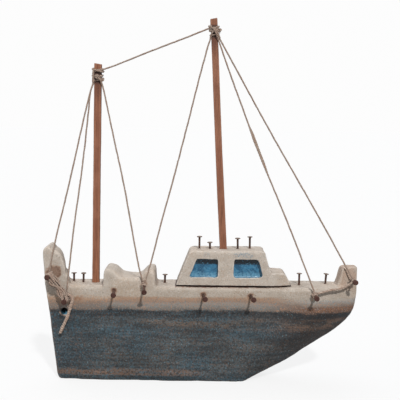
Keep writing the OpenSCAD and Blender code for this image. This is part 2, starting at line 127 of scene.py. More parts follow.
STAYS = {
    "triatic_stay": [[-101.2, -3.9, 314.6], [-90, -3.9, 318.4], [-47, -3.9, 335.7],
        [-8, -3.9, 351], [7.9, -3.9, 357.6]],
    "mizzen_backstay": [[-108.2, -3.9, 304], [-111, -5.3, 294.6], [-115.9, -7, 274.6],
        [-133.4, -13.6, 194.2], [-142.8, -17.4, 153.9], [-146.6, -18.8, 136.8],
        [-150, -20, 118], [-150.6, -20.3, 111]],
    "mizzen_quarter_stay": [[-108.2, -3.9, 302], [-111.1, -5, 294.7], [-113.2, -6.5, 274.6],
        [-117.1, -9.6, 234.5], [-121.7, -14, 194.4], [-126.8, -18.8, 154.4],
        [-129.3, -21, 129.3], [-131.2, -22, 112], [-133.3, -23.4, 88.2]],
    "mizzen_forestay": [[-100.4, -3.9, 302], [-99.2, -4.4, 298.6], [-89.8, -8.2, 257.2],
        [-76, -14, 196.1], [-59.8, -22, 114.6], [-56, -24, 103.4]],
    "main_backstay": [[9.3, -3.9, 349.6], [7.8, -4.4, 345], [2.4, -5.4, 325.8],
        [-14.8, -9.6, 255.8], [-24.7, -12.8, 215.6], [-35.3, -16.6, 175.5],
        [-40.5, -18.6, 155.4], [-50, -22.6, 117.4], [-54.4, -25.3, 103.2]],
    "main_forestay": [[14.7, -3.9, 350], [16.6, -4.4, 345.5], [23.7, -5.8, 326],
        [34.7, -7.6, 296.3], [50, -10.4, 256.6], [66, -13.8, 216.8],
        [91.2, -19.6, 157.1], [114.6, -25.8, 98.6], [116.4, -26.6, 94]],
    "main_bow_stay": [[15.7, -3.9, 350.6], [18.3, -4.2, 346], [29.6, -4.6, 326.2],
        [69, -6.8, 256.8], [116.5, -9.6, 176.6], [141.5, -12, 133.2],
        [153.6, -13, 111.6], [156, -13.4, 107.6]],
}
RAIL_LASH = [[119, -26.2, 93.8], [126.6, -25.4, 95.7], [132.9, -23.8, 97.1],
    [138.1, -22.3, 97.6], [143.4, -20.6, 98.4], [148.8, -18.6, 100],
    [153.7, -16.2, 102.6], [157.1, -14.6, 105.4]]
TAIL = [[-133.4, -20.4, 88.6], [-131.2, -20.7, 88.3], [-129, -21, 86.6],
    [-127.9, -21.3, 83.6], [-128.5, -21.5, 80.2], [-129.4, -21.5, 76.6],
    [-130.6, -21.4, 72.6], [-132.2, -21.3, 67.6], [-134.2, -21.2, 62.8],
    [-136.4, -21.1, 58], [-138.5, -21, 53.4], [-140.2, -21, 49]]


# ---------------------------------------------------------------- noise and paths
def hashed(i, seed):
    n = (i[..., 0] * 374761393 + i[..., 1] * 668265263 + i[..., 2] * 1274126177
         + seed * 974634777) & 0xFFFFFFFF
    n = ((n ^ (n >> 13)) * 1103515245) & 0xFFFFFFFF
    n = ((n ^ (n >> 15)) * 2246822519) & 0xFFFFFFFF
    n = n ^ (n >> 16)
    return (n & 0xFFFF) / 32767.5 - 1


def noise3(p, size, seed):
    """Smooth value noise in -1 to 1 with lumps of about that size."""
    q = np.asarray(p, float) / size
    i = np.floor(q).astype(np.int64)
    f = q - i
    f = f * f * f * (f * (6 * f - 15) + 10)
    out = np.zeros(q.shape[:-1])
    for dx in (0, 1):
        for dy in (0, 1):
            for dz in (0, 1):
                w = (
                    (f[..., 0] if dx else 1 - f[..., 0])
                    * (f[..., 1] if dy else 1 - f[..., 1])
                    * (f[..., 2] if dz else 1 - f[..., 2])
                )
                out += w * hashed(i + np.array([dx, dy, dz]), seed)
    return out


def smooth_path(points, step, closed=False):
    """A Catmull-Rom curve through the points, cut at an even step."""
    p = np.asarray(points, float)
    n = len(p)
    if closed:
        q = np.vstack([p[-1], p, p[0], p[1]])
    else:
        q = np.vstack([2 * p[0] - p[1], p, 2 * p[-1] - p[-2]])
    out = []
    for k in range(1, len(q) - 2):
        a, b, c, d = q[k - 1], q[k], q[k + 1], q[k + 2]
        ab, bc, cd = (max(1e-6, np.linalg.norm(v)) ** 0.5 for v in (b - a, c - b, d - c))
        t0, t1, t2, t3 = 0, ab, ab + bc, ab + bc + cd
        m = max(4, int(np.linalg.norm(c - b) / step * 2))
        for t in np.linspace(t1, t2, m, endpoint=False):
            a1 = (t1 - t) / (t1 - t0) * a + (t - t0) / (t1 - t0) * b
            a2 = (t2 - t) / (t2 - t1) * b + (t - t1) / (t2 - t1) * c
            a3 = (t3 - t) / (t3 - t2) * c + (t - t2) / (t3 - t2) * d
            b1 = (t2 - t) / (t2 - t0) * a1 + (t - t0) / (t2 - t0) * a2
            b2 = (t3 - t) / (t3 - t1) * a2 + (t - t1) / (t3 - t1) * a3
            out.append((t2 - t) / (t2 - t1) * b1 + (t - t1) / (t2 - t1) * b2)
    out.append(p[0] if closed else p[-1])
    out = np.array(out)
    s = np.concatenate([[0], np.cumsum(np.linalg.norm(np.diff(out, axis=0), axis=1))])
    count = max(4, int(round(s[-1] / step)))
    at = np.linspace(0, s[-1], count + 1)
    return np.stack([np.interp(at, s, out[:, k]) for k in range(3)], axis=1)


def path_frames(p):
    """Tangents and two turning-free normals along a path."""
    t = np.gradient(p, axis=0)
    t /= np.linalg.norm(t, axis=1)[:, None]
    u = np.cross(t[0], [0.13, 0.21, 0.97] if abs(t[0][2]) < 0.9 else [0.97, 0.2, 0.1])
    u /= np.linalg.norm(u)
    us = [u]
    for k in range(1, len(p)):
        u = us[-1] - t[k] * np.dot(us[-1], t[k])
        us.append(u / np.linalg.norm(u))
    us = np.array(us)
    return t, us, np.cross(t, us)


class Pile:
    """Vertices, faces and twine coordinates, gathered into one mesh."""

    def __init__(self):
        self.v, self.f, self.uv, self.n = [], [], [], 0

    def add(self, v, f, uv=None):
        v = np.asarray(v, float)
        self.v.append(v)
        self.f.extend([tuple(i + self.n for i in face) for face in f])
        self.uv.append(np.zeros((len(v), 2)) if uv is None else np.asarray(uv, float))
        self.n += len(v)
        return self

    def make(self, name, material, body, slot=None, smooth=True, with_uv=False):
        mesh = bpy.data.meshes.new(name)
        v = np.vstack(self.v) * MM
        mesh.from_pydata([tuple(x) for x in v], [], self.f)
        mesh.update()
        if with_uv:
            layer = mesh.attributes.new("twine_at", "FLOAT_VECTOR", "POINT")
            uv = np.vstack(self.uv)
            layer.data.foreach_set(
                "vector", np.column_stack([uv, np.zeros(len(uv))]).astype(np.float32).ravel())
        if smooth:
            mesh.polygons.foreach_set("use_smooth", np.ones(len(mesh.polygons), bool))
        mesh.materials.append(material)
        obj = bpy.data.objects.new(name, mesh)
        scene.collection.objects.link(obj)
        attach(obj, body)
        return obj


def twist(pile, points, d, pitch=4.6, lobes=3, step=0.42, seed=1, closed=False, fray=0.0,
          wobble=0.0, depth=0.30, full=1.18):
    """Twine of diameter d along the points: one closed skin with laid strands."""
    p = smooth_path(points, step, closed)
    if closed:
        p = p[:-1]
    n = len(p)
    s = np.arange(n) * step
    if wobble:
        jog = np.stack([noise3(np.column_stack([s, s * 0 + 7 * k, s * 0 + seed]), 5.0, seed + k)
                        for k in range(3)], axis=1)
        ease = 1.0 if closed else np.minimum(1, np.minimum(s, s[-1] - s) / 3)[:, None]
        p = p + wobble * jog * ease
    t, u, w = path_frames(p)
    if closed:  # close the turning of the frame evenly
        last = u[-1] - t[0] * np.dot(u[-1], t[0])
        ang = math.atan2(np.dot(last, w[0]), np.dot(last, u[0]))
    else:
        ang = 0.0
    per = 4
    k = np.arange(lobes * per)
    shape = 1 - depth * (1 - np.abs(np.cos(np.pi * k / per)) ** 0.9)
    rnd = noise3(np.column_stack([s, s * 0 + seed * 3.3, s * 0]), 2.6, seed)
    rnd2 = noise3(np.column_stack([s, s * 0 + seed * 5.1, s * 0 + 9]), 11.0, seed + 5)
    if closed:
        turns = round(s[-1] / pitch) if s[-1] > pitch else 1
        phase = 2 * np.pi * turns * np.arange(n) / n - ang * np.arange(n) / n
        phase = 2 * np.pi * max(1, turns) * np.arange(n) / n - ang * np.arange(n) / n
    else:
        phase = 2 * np.pi * s / pitch + 0.5 * rnd2
    r = d / 2 * full * (1 + 0.06 * rnd)
    if not closed:
        taper = np.minimum(1, (np.minimum(s, s[-1] - s) + 0.35 * d) / (0.6 * d))
        r = r * np.sqrt(np.clip(taper, 0.25, 1))
    a = 2 * np.pi * k[None, :] / len(k) + phase[:, None]
    # each strand swells and thins a little on its own
    own = 1 + 0.10 * noise3(
        np.stack([np.repeat(s[:, None], len(k), 1), np.repeat((k // per)[None, :] * 3.7, n, 0),
                  np.full((n, len(k)), seed * 1.7)], axis=-1), 1.9, seed + 11)
    rad = r[:, None] * shape[None, :] * own
    v = (p[:, None, :] + rad[..., None] * (np.cos(a)[..., None] * u[:, None, :]
         + np.sin(a)[..., None] * w[:, None, :]))
    m = len(k)
    faces = []
    rows = n if closed else n - 1
    for i in range(rows):
        j = (i + 1) % n
        for q in range(m):
            faces.append((i * m + q, i * m + (q + 1) % m, j * m + (q + 1) % m, j * m + q))
    if not closed:
        faces.append(tuple(range(m - 1, -1, -1)))
        faces.append(tuple((n - 1) * m + q for q in range(m)))
    uv = np.stack([np.repeat((k / len(k))[None, :], n, 0), np.repeat(s[:, None], m, 1)], axis=-1)
    pile.add(v.reshape(-1, 3), faces, uv.reshape(-1, 2))
    return p


def fibre(pile, points, r0, r1, sides=4, step=0.4):
    """One thin tapering fibre, closed at both ends."""
    p = smooth_path(points, step)
    t, u, w = path_frames(p)
    n = len(p)
    rr = np.linspace(r0, r1, n)
    a = 2 * np.pi * np.arange(sides) / sides
    v = p[:, None, :] + rr[:, None, None] * (np.cos(a)[None, :, None] * u[:, None, :]
        + np.sin(a)[None, :, None] * w[:, None, :])
    faces = [(i * sides + q, i * sides + (q + 1) % sides,
              (i + 1) * sides + (q + 1) % sides, (i + 1) * sides + q)
             for i in range(n - 1) for q in range(sides)]
    faces.append(tuple(range(sides - 1, -1, -1)))
    faces.append(tuple((n - 1) * sides + q for q in range(sides)))
    uv = np.zeros((n * sides, 2))
    uv[:, 1] = np.repeat(np.arange(n) * step, sides)
    pile.add(v.reshape(-1, 3), faces, uv)


def fuzz(pile, p, d, count, seed, long=2.2):
    """Loose fibres that stand off a length of twine."""
    rng = np.random.default_rng(seed)
    t, u, w = path_frames(p)
    for _ in range(count):
        i = rng.integers(1, len(p) - 1)
        a = rng.uniform(0, 2 * np.pi)
        out = math.cos(a) * u[i] + math.sin(a) * w[i]
        along = t[i] * rng.choice([-1, 1])
        length = rng.uniform(0.5, 1) * long
        root = p[i] + out * d * 0.36
        bend = rng.uniform(0.2, 0.7)
        q = [root, root + length * 0.4 * (out * bend + along * 0.6),
             root + length * (out * bend * 0.9 + along * rng.uniform(0.4, 0.9)
                              + 0.25 * rng.standard_normal(3))]
        fibre(pile, q, 0.055, 0.02, 3, length / 4)


def length_of(p):
    return float(np.linalg.norm(np.diff(p, axis=0), axis=1).sum())


def unit(v):
    v = np.asarray(v, float)
    return v / np.linalg.norm(v)


def axes_of(direction):
    d = unit(direction)
    a = unit(np.cross(d, [0, 0, 1] if abs(d[2]) < 0.9 else [1, 0, 0]))
    return d, a, np.cross(d, a)


# ---------------------------------------------------------------- materials
def srgb(r, g, b, a=1.0):
    def lin(c):
        c = c / 255
        return c / 12.92 if c <= 0.04045 else ((c + 0.055) / 1.055) ** 2.4
    return (lin(r), lin(g), lin(b), a)


class Shader:
    """A short way to write node trees."""

    def __init__(self, name):
        self.mat = bpy.data.materials.new(name)
        self.mat.use_nodes = True
        self.nt = self.mat.node_tree
        self.nt.nodes.clear()
        self.out = self.nt.nodes.new("ShaderNodeOutputMaterial")
        self.bsdf = self.nt.nodes.new("ShaderNodeBsdfPrincipled")
        self.nt.links.new(self.bsdf.outputs[0], self.out.inputs[0])
        tc = self.nt.nodes.new("ShaderNodeTexCoord")
        self.p = self.vec("SCALE", tc.outputs["Object"], scale=1000)
        sep = self.nt.nodes.new("ShaderNodeSeparateXYZ")
        self.nt.links.new(self.p, sep.inputs[0])
        self.x, self.y, self.z = sep.outputs

    def put(self, socket, value):
        if isinstance(value, bpy.types.NodeSocket):
            self.nt.links.new(value, socket)
        elif value is not None:
            socket.default_value = value

    def math(self, op, a, b=None, c=None, clamp=False):
        n = self.nt.nodes.new("ShaderNodeMath")
        n.operation = op
        n.use_clamp = clamp
        for s, v in zip(n.inputs, (a, b, c)):
            self.put(s, v)
        return n.outputs[0]

    def vec(self, op, a, b=None, scale=None):
        n = self.nt.nodes.new("ShaderNodeVectorMath")
        n.operation = op
        self.put(n.inputs[0], a)
        if b is not None:
            self.put(n.inputs[1], b)
        if scale is not None:
            self.put(n.inputs["Scale"], scale)
        return n.outputs["Value"] if op in ("LENGTH", "DISTANCE", "DOT_PRODUCT") else n.outputs[0]

    def noise(self, size, detail=2.0, rough=0.5, at=None, stretch=None, offset=None, distort=0.0):
        vec = at if at is not None else self.p
        if stretch is not None:
            vec = self.vec("MULTIPLY", vec, stretch)
        if offset is not None:
            vec = self.vec("ADD", vec, offset)
        n = self.nt.nodes.new("ShaderNodeTexNoise")
        self.put(n.inputs["Vector"], vec)
        n.inputs["Scale"].default_value = 1 / size
        n.inputs["Detail"].default_value = detail
        n.inputs["Roughness"].default_value = rough
        n.inputs["Distortion"].default_value = distort
        return n.outputs[0]

    def cells(self, size, at=None, feature="F1", rand=1.0, offset=None):
        vec = at if at is not None else self.p
        if offset is not None:
            vec = self.vec("ADD", vec, offset)
        n = self.nt.nodes.new("ShaderNodeTexVoronoi")
        n.feature = feature
        self.put(n.inputs["Vector"], vec)
        n.inputs["Scale"].default_value = 1 / size
        n.inputs["Randomness"].default_value = rand
        return n.outputs["Distance"]

    def step(self, v, a, b, lo=0.0, hi=1.0):
        n = self.nt.nodes.new("ShaderNodeMapRange")
        n.interpolation_type = "SMOOTHSTEP"
        for s, x in zip(n.inputs, (v, a, b, lo, hi)):
            self.put(s, x)
        return n.outputs[0]

    def mix(self, f, a, b, mode="MIX"):
        n = self.nt.nodes.new("ShaderNodeMix")
        n.data_type = "RGBA"
        n.blend_type = mode
        self.put(n.inputs[0], f)
        self.put(n.inputs[6], a)
        self.put(n.inputs[7], b)
        return n.outputs[2]

    def ramp(self, f, stops):
        n = self.nt.nodes.new("ShaderNodeValToRGB")
        e = n.color_ramp.elements
        while len(e) < len(stops):
            e.new(0.5)
        for el, (at, col) in zip(e, stops):
            el.position = at
            el.color = col
        self.put(n.inputs[0], f)
        return n.outputs[0]

    def attr(self, name, out="Fac"):
        n = self.nt.nodes.new("ShaderNodeAttribute")
        n.attribute_name = name
        return n.outputs[out]

    def bump(self, height, strength, distance, normal=None):
        n = self.nt.nodes.new("ShaderNodeBump")
        n.inputs["Strength"].default_value = strength
        n.inputs["Distance"].default_value = distance
        self.put(n.inputs["Height"], height)
        if normal is not None:
            self.put(n.inputs["Normal"], normal)
        return n.outputs[0]

    def set(self, **values):
        for k, v in values.items():
            self.put(self.bsdf.inputs[k.replace("_", " ")], v)
        return self.mat


def clay_material(name, hull):
    s = Shader(name)
    big = s.noise(38, 3, 0.55)
    mid = s.noise(11, 3, 0.55, offset=(31, 7, 3))
    small = s.noise(2.6, 2, 0.5, offset=(3, 71, 13))
    fine = s.noise(1.05, 1.5, 0.5, offset=(11, 3, 37))
    edge = s.attr("edge")
    rust = s.attr("rust")

    def flecks(col, size, seed, a, b, amount, colour):
        n = s.noise(size, 1, 0.5, offset=(seed, 9.1 * seed, 3.7 * seed))
        return s.mix(s.step(n, a, b, 0, amount), col, colour)

    # cream glaze
    cream = s.mix(s.step(mid, 0.38, 0.62), srgb(173, 161, 148), srgb(183, 172, 160))
    cream = s.mix(s.step(big, 0.48, 0.70, 0, 0.35), cream, srgb(184, 162, 140))
    cream = flecks(cream, 1.5, 5, 0.60, 0.70, 0.40, srgb(150, 150, 147))
    cream = flecks(cream, 1.15, 9, 0.60, 0.70, 0.55, srgb(158, 124, 98))
    cream = flecks(cream, 0.9, 13, 0.65, 0.72, 0.75, srgb(100, 84, 72))
    cream = flecks(cream, 1.5, 17, 0.58, 0.70, 0.50, srgb(206, 199, 190))
    if hull:
        # height above the waterline, which wanders
        u = s.math("SUBTRACT", s.z, s.step(s.x, 45, 128, 76.2, 74.7))
        u = s.math("ADD", u, s.math("MULTIPLY", s.math("SUBTRACT", s.noise(
            26, 3, 0.55, stretch=(0.35, 0.6, 1.3), offset=(9, 2, 5)), 0.5), 9.0))
        u = s.math("ADD", u, s.math("MULTIPLY", s.math("SUBTRACT", s.noise(
            6, 3, 0.6, stretch=(0.22, 0.6, 1.2), offset=(19, 2, 5)), 0.5), 5.0))
        u = s.math("ADD", u, s.math("MULTIPLY", s.math("SUBTRACT", fine, 0.5), 4.0))
        forward = s.step(s.x, 60, 118)
        aft = s.step(s.x, -85, -130)

        blue = s.step(s.noise(22, 3, 0.6, stretch=(0.4, 1, 1.3), offset=(40, 1, 8)), 0.42, 0.6)
        dark = s.mix(blue, srgb(72, 72, 71), srgb(60, 74, 81))
        dark = s.mix(s.math("MULTIPLY", aft, 0.52), dark, srgb(44, 61, 70))
        dark = s.mix(s.math("MULTIPLY", s.step(s.x, 50, 118), 0.9), dark, srgb(46, 35, 30))
        run = s.noise(7, 3, 0.6, stretch=(0.10, 0.5, 1.0), offset=(3, 3, 60))
        streak = s.noise(3.2, 3, 0.6, stretch=(0.08, 0.5, 1.0), offset=(13, 3, 6))
        dark = s.mix(s.step(streak, 0.50, 0.66, 0, 0.38), dark, srgb(46, 47, 50))
        dark = s.mix(s.step(streak, 0.46, 0.34, 0, 0.22), dark, srgb(88, 84, 80))
        # the glaze is darkest just under the waterline
        under = s.math("MULTIPLY", s.step(u, -11.0, -7.0), s.step(u, -1.0, -3.0))
        dark = s.mix(s.math("MULTIPLY", under, s.step(streak, 0.35, 0.6, 0.45, 0.9)), dark,
                     srgb(44, 45, 47))
        # long brown runs below it, low down, and near the bow
        pale = s.math("MULTIPLY", s.step(u, -22, -17), s.step(u, -9.5, -12.5))
        pale = s.math("MULTIPLY", pale, s.step(s.x, -80, -50))
        dark = s.mix(s.math("MULTIPLY", s.math("MULTIPLY", pale, s.step(run, 0.38, 0.6)), 0.7),
                     dark, srgb(116, 98, 84))
        low = s.math("MULTIPLY", s.step(s.z, 14, 10.5), s.step(s.z, 4.5, 7))
        low = s.math("MULTIPLY", low, s.step(s.x, 20, -15))
        dark = s.mix(s.math("MULTIPLY", s.math("MULTIPLY", low, s.step(run, 0.36, 0.56)), 0.8),
                     dark, srgb(128, 100, 82))
        fore = s.math("MULTIPLY", s.step(s.z, 51, 57), s.step(s.z, 68, 63))
        fore = s.math("MULTIPLY", fore, s.step(s.x, 25, 60))
        dark = s.mix(s.math("MULTIPLY", s.math("MULTIPLY", fore, s.step(run, 0.42, 0.58)), 0.8),
                     dark, srgb(114, 88, 72))
        fleck = s.noise(1.7, 1, 0.5, offset=(21, 191, 77))
        dark = s.mix(s.math("MULTIPLY", s.step(fleck, 0.48, 0.64, 0, 0.48),
                            s.step(s.x, 115, 15, 0.15, 1.0)), dark, srgb(66, 100, 114))
        dark = flecks(dark, 1.5, 25, 0.54, 0.66, 0.42, srgb(110, 82, 66))
        dark = flecks(dark, 1.9, 29, 0.50, 0.62, 0.62, srgb(36, 37, 38))
        dark = flecks(dark, 1.2, 33, 0.66, 0.72, 0.60, srgb(112, 138, 146))
        tone = s.step(streak, 0.34, 0.64, 1.06, 0.78)
        tone = s.math("MULTIPLY", tone, s.step(s.noise(
            16, 3, 0.6, stretch=(0.35, 1, 1), offset=(63, 3, 16)), 0.35, 0.65, 0.84, 1.12))
        tone = s.math("MULTIPLY", tone, s.math("SUBTRACT", 1.0, s.math(
            "MULTIPLY", under, s.step(s.x, -60, 30, 0.08, 0.28))))
        tone = s.math("MULTIPLY", tone, s.step(s.x, 85, 125, 1.0, 0.84))
        dark = s.vec("SCALE", dark, scale=tone)
        rear = s.step(s.x, -82, -104)
        lift = s.math("ADD", s.math("ADD", u, 4.0), s.math("MULTIPLY", rear, 1.4))
        shore = s.ramp(s.math("DIVIDE", lift, 20.0), [
            (0.0, srgb(70, 69, 69)), (0.09, srgb(84, 80, 77)), (0.19, srgb(115, 108, 101)),
            (0.29, srgb(127, 121, 114)), (0.39, srgb(139, 128, 119)), (0.49, srgb(138, 115, 98)),
            (0.60, srgb(150, 124, 104)), (0.70, srgb(162, 133, 110)), (0.80, srgb(176, 159, 142)),
            (0.90, srgb(177, 163, 148))])
        bow = s.ramp(s.math("DIVIDE", s.math("ADD", u, 4.0), 20.0), [
            (0.0, srgb(54, 48, 45)), (0.10, srgb(90, 66, 54)), (0.22, srgb(108, 78, 60)),
            (0.325, srgb(106, 75, 58)), (0.425, srgb(110, 90, 78)), (0.53, srgb(132, 119, 108)),
            (0.63, srgb(142, 135, 128)), (0.735, srgb(157, 151, 143)), (0.835, srgb(173, 162, 148)),
            (1.0, srgb(174, 161, 147))])
        shore = s.mix(forward, shore, bow)
        shore = s.mix(s.math("MULTIPLY", s.math("MULTIPLY", rear, s.step(u, 8.0, 1.0)), 0.5),
                      shore, srgb(98, 82, 72))
        grain = s.math("SUBTRACT", s.step(small, 0.3, 0.7), 0.5)
        shore = flecks(shore, 1.25, 37, 0.56, 0.66, 0.45, srgb(96, 92, 88))
        shore = flecks(shore, 1.2, 41, 0.56, 0.67, 0.60, srgb(170, 128, 98))
        shore = flecks(shore, 1.1, 43, 0.62, 0.70, 0.60, srgb(112, 138, 146))
        col = s.mix(s.step(u, 10, 14), shore, cream)
        col = s.mix(s.step(u, -4.0, -1.2), dark, col)
        wet = s.step(u, 1, -3)
        # round the cabin block's foot: a band of reddish flecks, and in it a dark line of painted shade where the
        # gap between cabin and hull lies
        ahead = s.math("MAXIMUM", s.math("SUBTRACT", s.x, 68.0), 0.0)
        side = s.math("SUBTRACT", 18.2, s.math("MULTIPLY", s.math("MULTIPLY", ahead, ahead), 0.0104))
        off = s.math("SUBTRACT", s.math("ABSOLUTE", s.y), side)
        off = s.math("ADD", off, s.math("MULTIPLY", s.math("SUBTRACT", fine, 0.5), 0.7))
        line = s.math("MULTIPLY", s.step(s.x, -25.0, -23.6), s.step(s.x, 95.2, 93.6))
        line = s.math("MULTIPLY", line, s.step(s.z, 96.6, 97.2))
        col = s.mix(s.math("MULTIPLY", s.math("MULTIPLY", line, s.step(off, 2.0, 0.9)),
                           s.step(small, 0.42, 0.62, 0.1, 0.8)), col, srgb(128, 84, 68))
        # painted shade: the dark line of the gap under the cabin block
        col = s.mix(s.math("MULTIPLY", line, s.step(off, 0.8, 0.2)), col, srgb(62, 42, 36))
        # the bow post is toasted
        col = s.mix(s.math("MULTIPLY", s.math("MULTIPLY", s.step(s.x, 138, 146), s.step(s.z, 92, 98)),
                           s.step(mid, 0.35, 0.6, 0.2, 0.55)), col, srgb(160, 126, 102))
        # a band along the top of the side is darkened a little; where the glaze thins over a convex edge it is
        # painted lighter, brown on the dark glaze and pale on the cream, partly the glaze breaking and partly a
        # painted highlight
        rail = s.math("MULTIPLY", s.step(s.z, 99, 97), s.step(s.z, 84, 88))
        rail = s.math("MULTIPLY", rail, s.step(s.x, -118, -70, 0.3, 1.0))
        col = s.mix(s.math("MULTIPLY", rail, 0.65), col, s.mix(1.0, col, srgb(233, 230, 226),
                                                             "MULTIPLY"))
        edge_break_and_highlight = s.math("MULTIPLY", s.step(edge, 0.15, 0.6), s.step(small, 0.35, 0.6))
        col = s.mix(s.math("MULTIPLY", edge_break_and_highlight, s.step(wet, 0, 1, 0.2, 0.55)), col,
                    s.mix(wet, srgb(204, 196, 186), srgb(108, 92, 82)))
    else:
        col = cream
        wet = None
        # convex edges painted pale: partly the glaze breaking, partly a painted highlight
        edge_break_and_highlight = s.math("MULTIPLY", s.step(edge, 0.12, 0.6), s.step(small, 0.35, 0.6))
        col = s.mix(s.math("MULTIPLY", edge_break_and_highlight, 0.6), col, srgb(206, 198, 188))
        col = s.mix(s.math("MULTIPLY", s.attr("blue"), s.step(fine, 0.42, 0.62)), col,
                    srgb(110, 130, 142))
        pane = s.mix(s.step(small, 0.4, 0.62), srgb(66, 116, 144), srgb(108, 158, 184))
        # painted shadow: the top of each recess's glazed walls is painted near black, where the upper edge shades
        # it
        pane = s.mix(s.step(s.z, 119, 121), pane, srgb(14, 38, 52))
        pane = s.mix(s.step(fine, 0.56, 0.64, 0, 0.6), pane, srgb(44, 62, 70))
        col = s.mix(s.attr("pane"), col, pane)
        # painted shade: the cabin's foot, down in the gap on the deck, is painted dark
        col = s.mix(s.step(s.z, 99.8, 99.1), col, srgb(72, 48, 40))
    # painted shade: concave creases are painted a darker brown
    crease_shade = s.step(edge, -0.15, -0.7)
    col = s.mix(s.math("MULTIPLY", crease_shade, 0.6), col, srgb(108, 82, 66))
    col = s.mix(s.math("MULTIPLY", rust, s.step(fine, 0.2, 0.6, 0.7, 1)), col,
                s.mix(s.step(rust, 0.7, 1.0), srgb(138, 100, 74), srgb(96, 66, 50)))
    if hull:
        col = s.mix(s.attr("lip"), col, srgb(186, 158, 138))
        col = s.mix(s.attr("pool"), col, s.mix(s.step(small, 0.4, 0.6), srgb(84, 132, 152),
                                               srgb(54, 92, 112)))
        # painted shade: the upper inside of the vent is painted near black
        col = s.mix(s.attr("hole"), col, srgb(26, 24, 25))

    height = s.math("ADD", s.math("MULTIPLY", fine, 0.55), s.math("MULTIPLY", small, 0.9))
    pits = s.step(s.cells(2.2, offset=(4, 4, 9)), 0.0, 0.24, -0.8, 0)
    height = s.math("ADD", height, pits)
    rough = s.step(fine, 0.3, 0.7, 0.52, 0.74)
    if hull:
        rough = s.math("SUBTRACT", rough, s.math("MULTIPLY", wet, 0.12))
    return s.set(Base_Color=col, Roughness=rough,
                 Normal=s.bump(height, 0.5, 0.00045))


def wood_material(name, lean, seed, tied, k=1.0):
    s = Shader(name)
    # straight grain up the spar, which leans
    n = s.nt.nodes.new("ShaderNodeMapping")
    n.vector_type = "POINT"
    s.nt.links.new(s.p, n.inputs["Vector"])
    n.inputs["Rotation"].default_value = (0, math.radians(lean), 0)
    at = n.outputs[0]
    grain = s.noise(1.0, 3, 0.6, at=at, stretch=(1.0, 1.0, 0.03), offset=(seed, 2, 0), distort=0.3)
    broad = s.noise(3.4, 2, 0.5, at=at, stretch=(1.0, 1.0, 0.05), offset=(seed, 22, 3))
    patch = s.noise(30, 2, 0.5, at=at, stretch=(1, 1, 1), offset=(seed, 9, 9))
    pores = s.noise(0.55, 2, 0.7, at=at, stretch=(1.0, 1.0, 0.09), offset=(3, seed, 7))
    col = s.mix(s.step(grain, 0.35, 0.65), srgb(112 * k, 66 * k, 43 * k),
                srgb(153 * k, 99 * k, 69 * k))
    col = s.mix(s.step(broad, 0.4, 0.65, 0, 0.55), col, srgb(124, 73, 52))
    col = s.mix(s.step(patch, 0.45, 0.7, 0, 0.4), col, srgb(166, 113, 87))
    col = s.mix(s.step(pores, 0.6, 0.68, 0, 0.65), col, srgb(86, 50, 36))
    edge = s.attr("edge")
    col = s.mix(s.math("MULTIPLY", edge, 0.35), col, srgb(176, 125, 98))
    # darker, streaked wood below the lashing; under the lashing the wood is painted near black, which is painted
    # shade in the gaps between the turns
    under = s.math("MULTIPLY", s.step(s.z, tied + 3, tied + 0.5), s.step(s.z, tied - 13, tied - 9))
    below = s.math("MULTIPLY", s.step(s.z, tied - 8, tied - 12), s.step(s.z, tied - 36, tied - 14))
    below = s.math("MULTIPLY", below, s.step(broad, 0.38, 0.6, 0.25, 1.0))
    col = s.mix(s.math("MULTIPLY", below, 0.72), col, srgb(76, 40, 27))
    # painted shade: the band under the lashing's turns
    col = s.mix(s.math("MULTIPLY", under, 0.85), col, srgb(44, 27, 22))
    height = s.math("ADD", s.math("MULTIPLY", grain, 1.0), s.math("MULTIPLY", pores, -0.7))
    return s.set(Base_Color=col, Roughness=s.step(grain, 0.3, 0.7, 0.72, 0.55),
                 Normal=s.bump(height, 0.45, 0.0003))


def rust_material(name, cap, spot):
    s = Shader(name)
    a = s.noise(1.1, 3, 0.6)
    b = s.noise(0.45, 2, 0.6, offset=(9, 3, 1))
    c = s.noise(3.5, 2, 0.5, offset=(2, 31, 8))
    head = s.attr("head")
    col = s.mix(s.step(a, 0.4, 0.62), srgb(56, 46, 42), srgb(92, 62, 48))
    col = s.mix(s.step(b, 0.56, 0.66, 0, 0.8), col, srgb(132, 80, 54))
    col = s.mix(s.step(c, 0.5, 0.68, 0, 0.5), col, srgb(48, 44, 44))
    col = s.mix(s.math("MULTIPLY", head, s.step(a, 0.3, 0.6, 0.55, 0.98)), col, cap)
    col = s.mix(s.math("MULTIPLY", head, s.step(b, 0.58, 0.68, 0, 0.6)), col, spot)
    metal = s.step(a, 0.62, 0.45, 0.05, 0.4)
    height = s.math("ADD", a, s.math("MULTIPLY", b, 0.6))
    return s.set(Base_Color=col, Roughness=s.step(a, 0.35, 0.65, 0.5, 0.82), Metallic=metal,
                 Normal=s.bump(height, 0.5, 0.00018))


def twine_material(name, shade=1.0):
    s = Shader(name)
    at = s.attr("twine_at", "Vector")
    n = s.vec("MULTIPLY", at, (18.0, 1.0, 1.0))
    strand = s.noise(1.0, 3, 0.65, at=n, stretch=(1.0, 0.55, 1.0))
    along = s.noise(7.0, 2, 0.5, offset=(3, 8, 1))
    fine = s.noise(0.28, 2, 0.6)
    k = shade
    col = s.mix(s.step(strand, 0.35, 0.65), srgb(108 * k, 89 * k, 77 * k),
                srgb(172 * k, 153 * k, 138 * k))
    col = s.mix(s.step(along, 0.42, 0.66, 0, 0.6), col, srgb(140 * k, 114 * k, 98 * k))
    col = s.mix(s.step(fine, 0.58, 0.7, 0, 0.6), col, srgb(96 * k, 76 * k, 62 * k))
    height = s.math("ADD", strand, s.math("MULTIPLY", fine, 0.5))
    return s.set(Base_Color=col, Roughness=s.step(fine, 0.3, 0.7, 0.78, 0.95),
                 Sheen_Weight=0.25, Sheen_Roughness=0.5,
                 Normal=s.bump(height, 0.5, 0.00012))


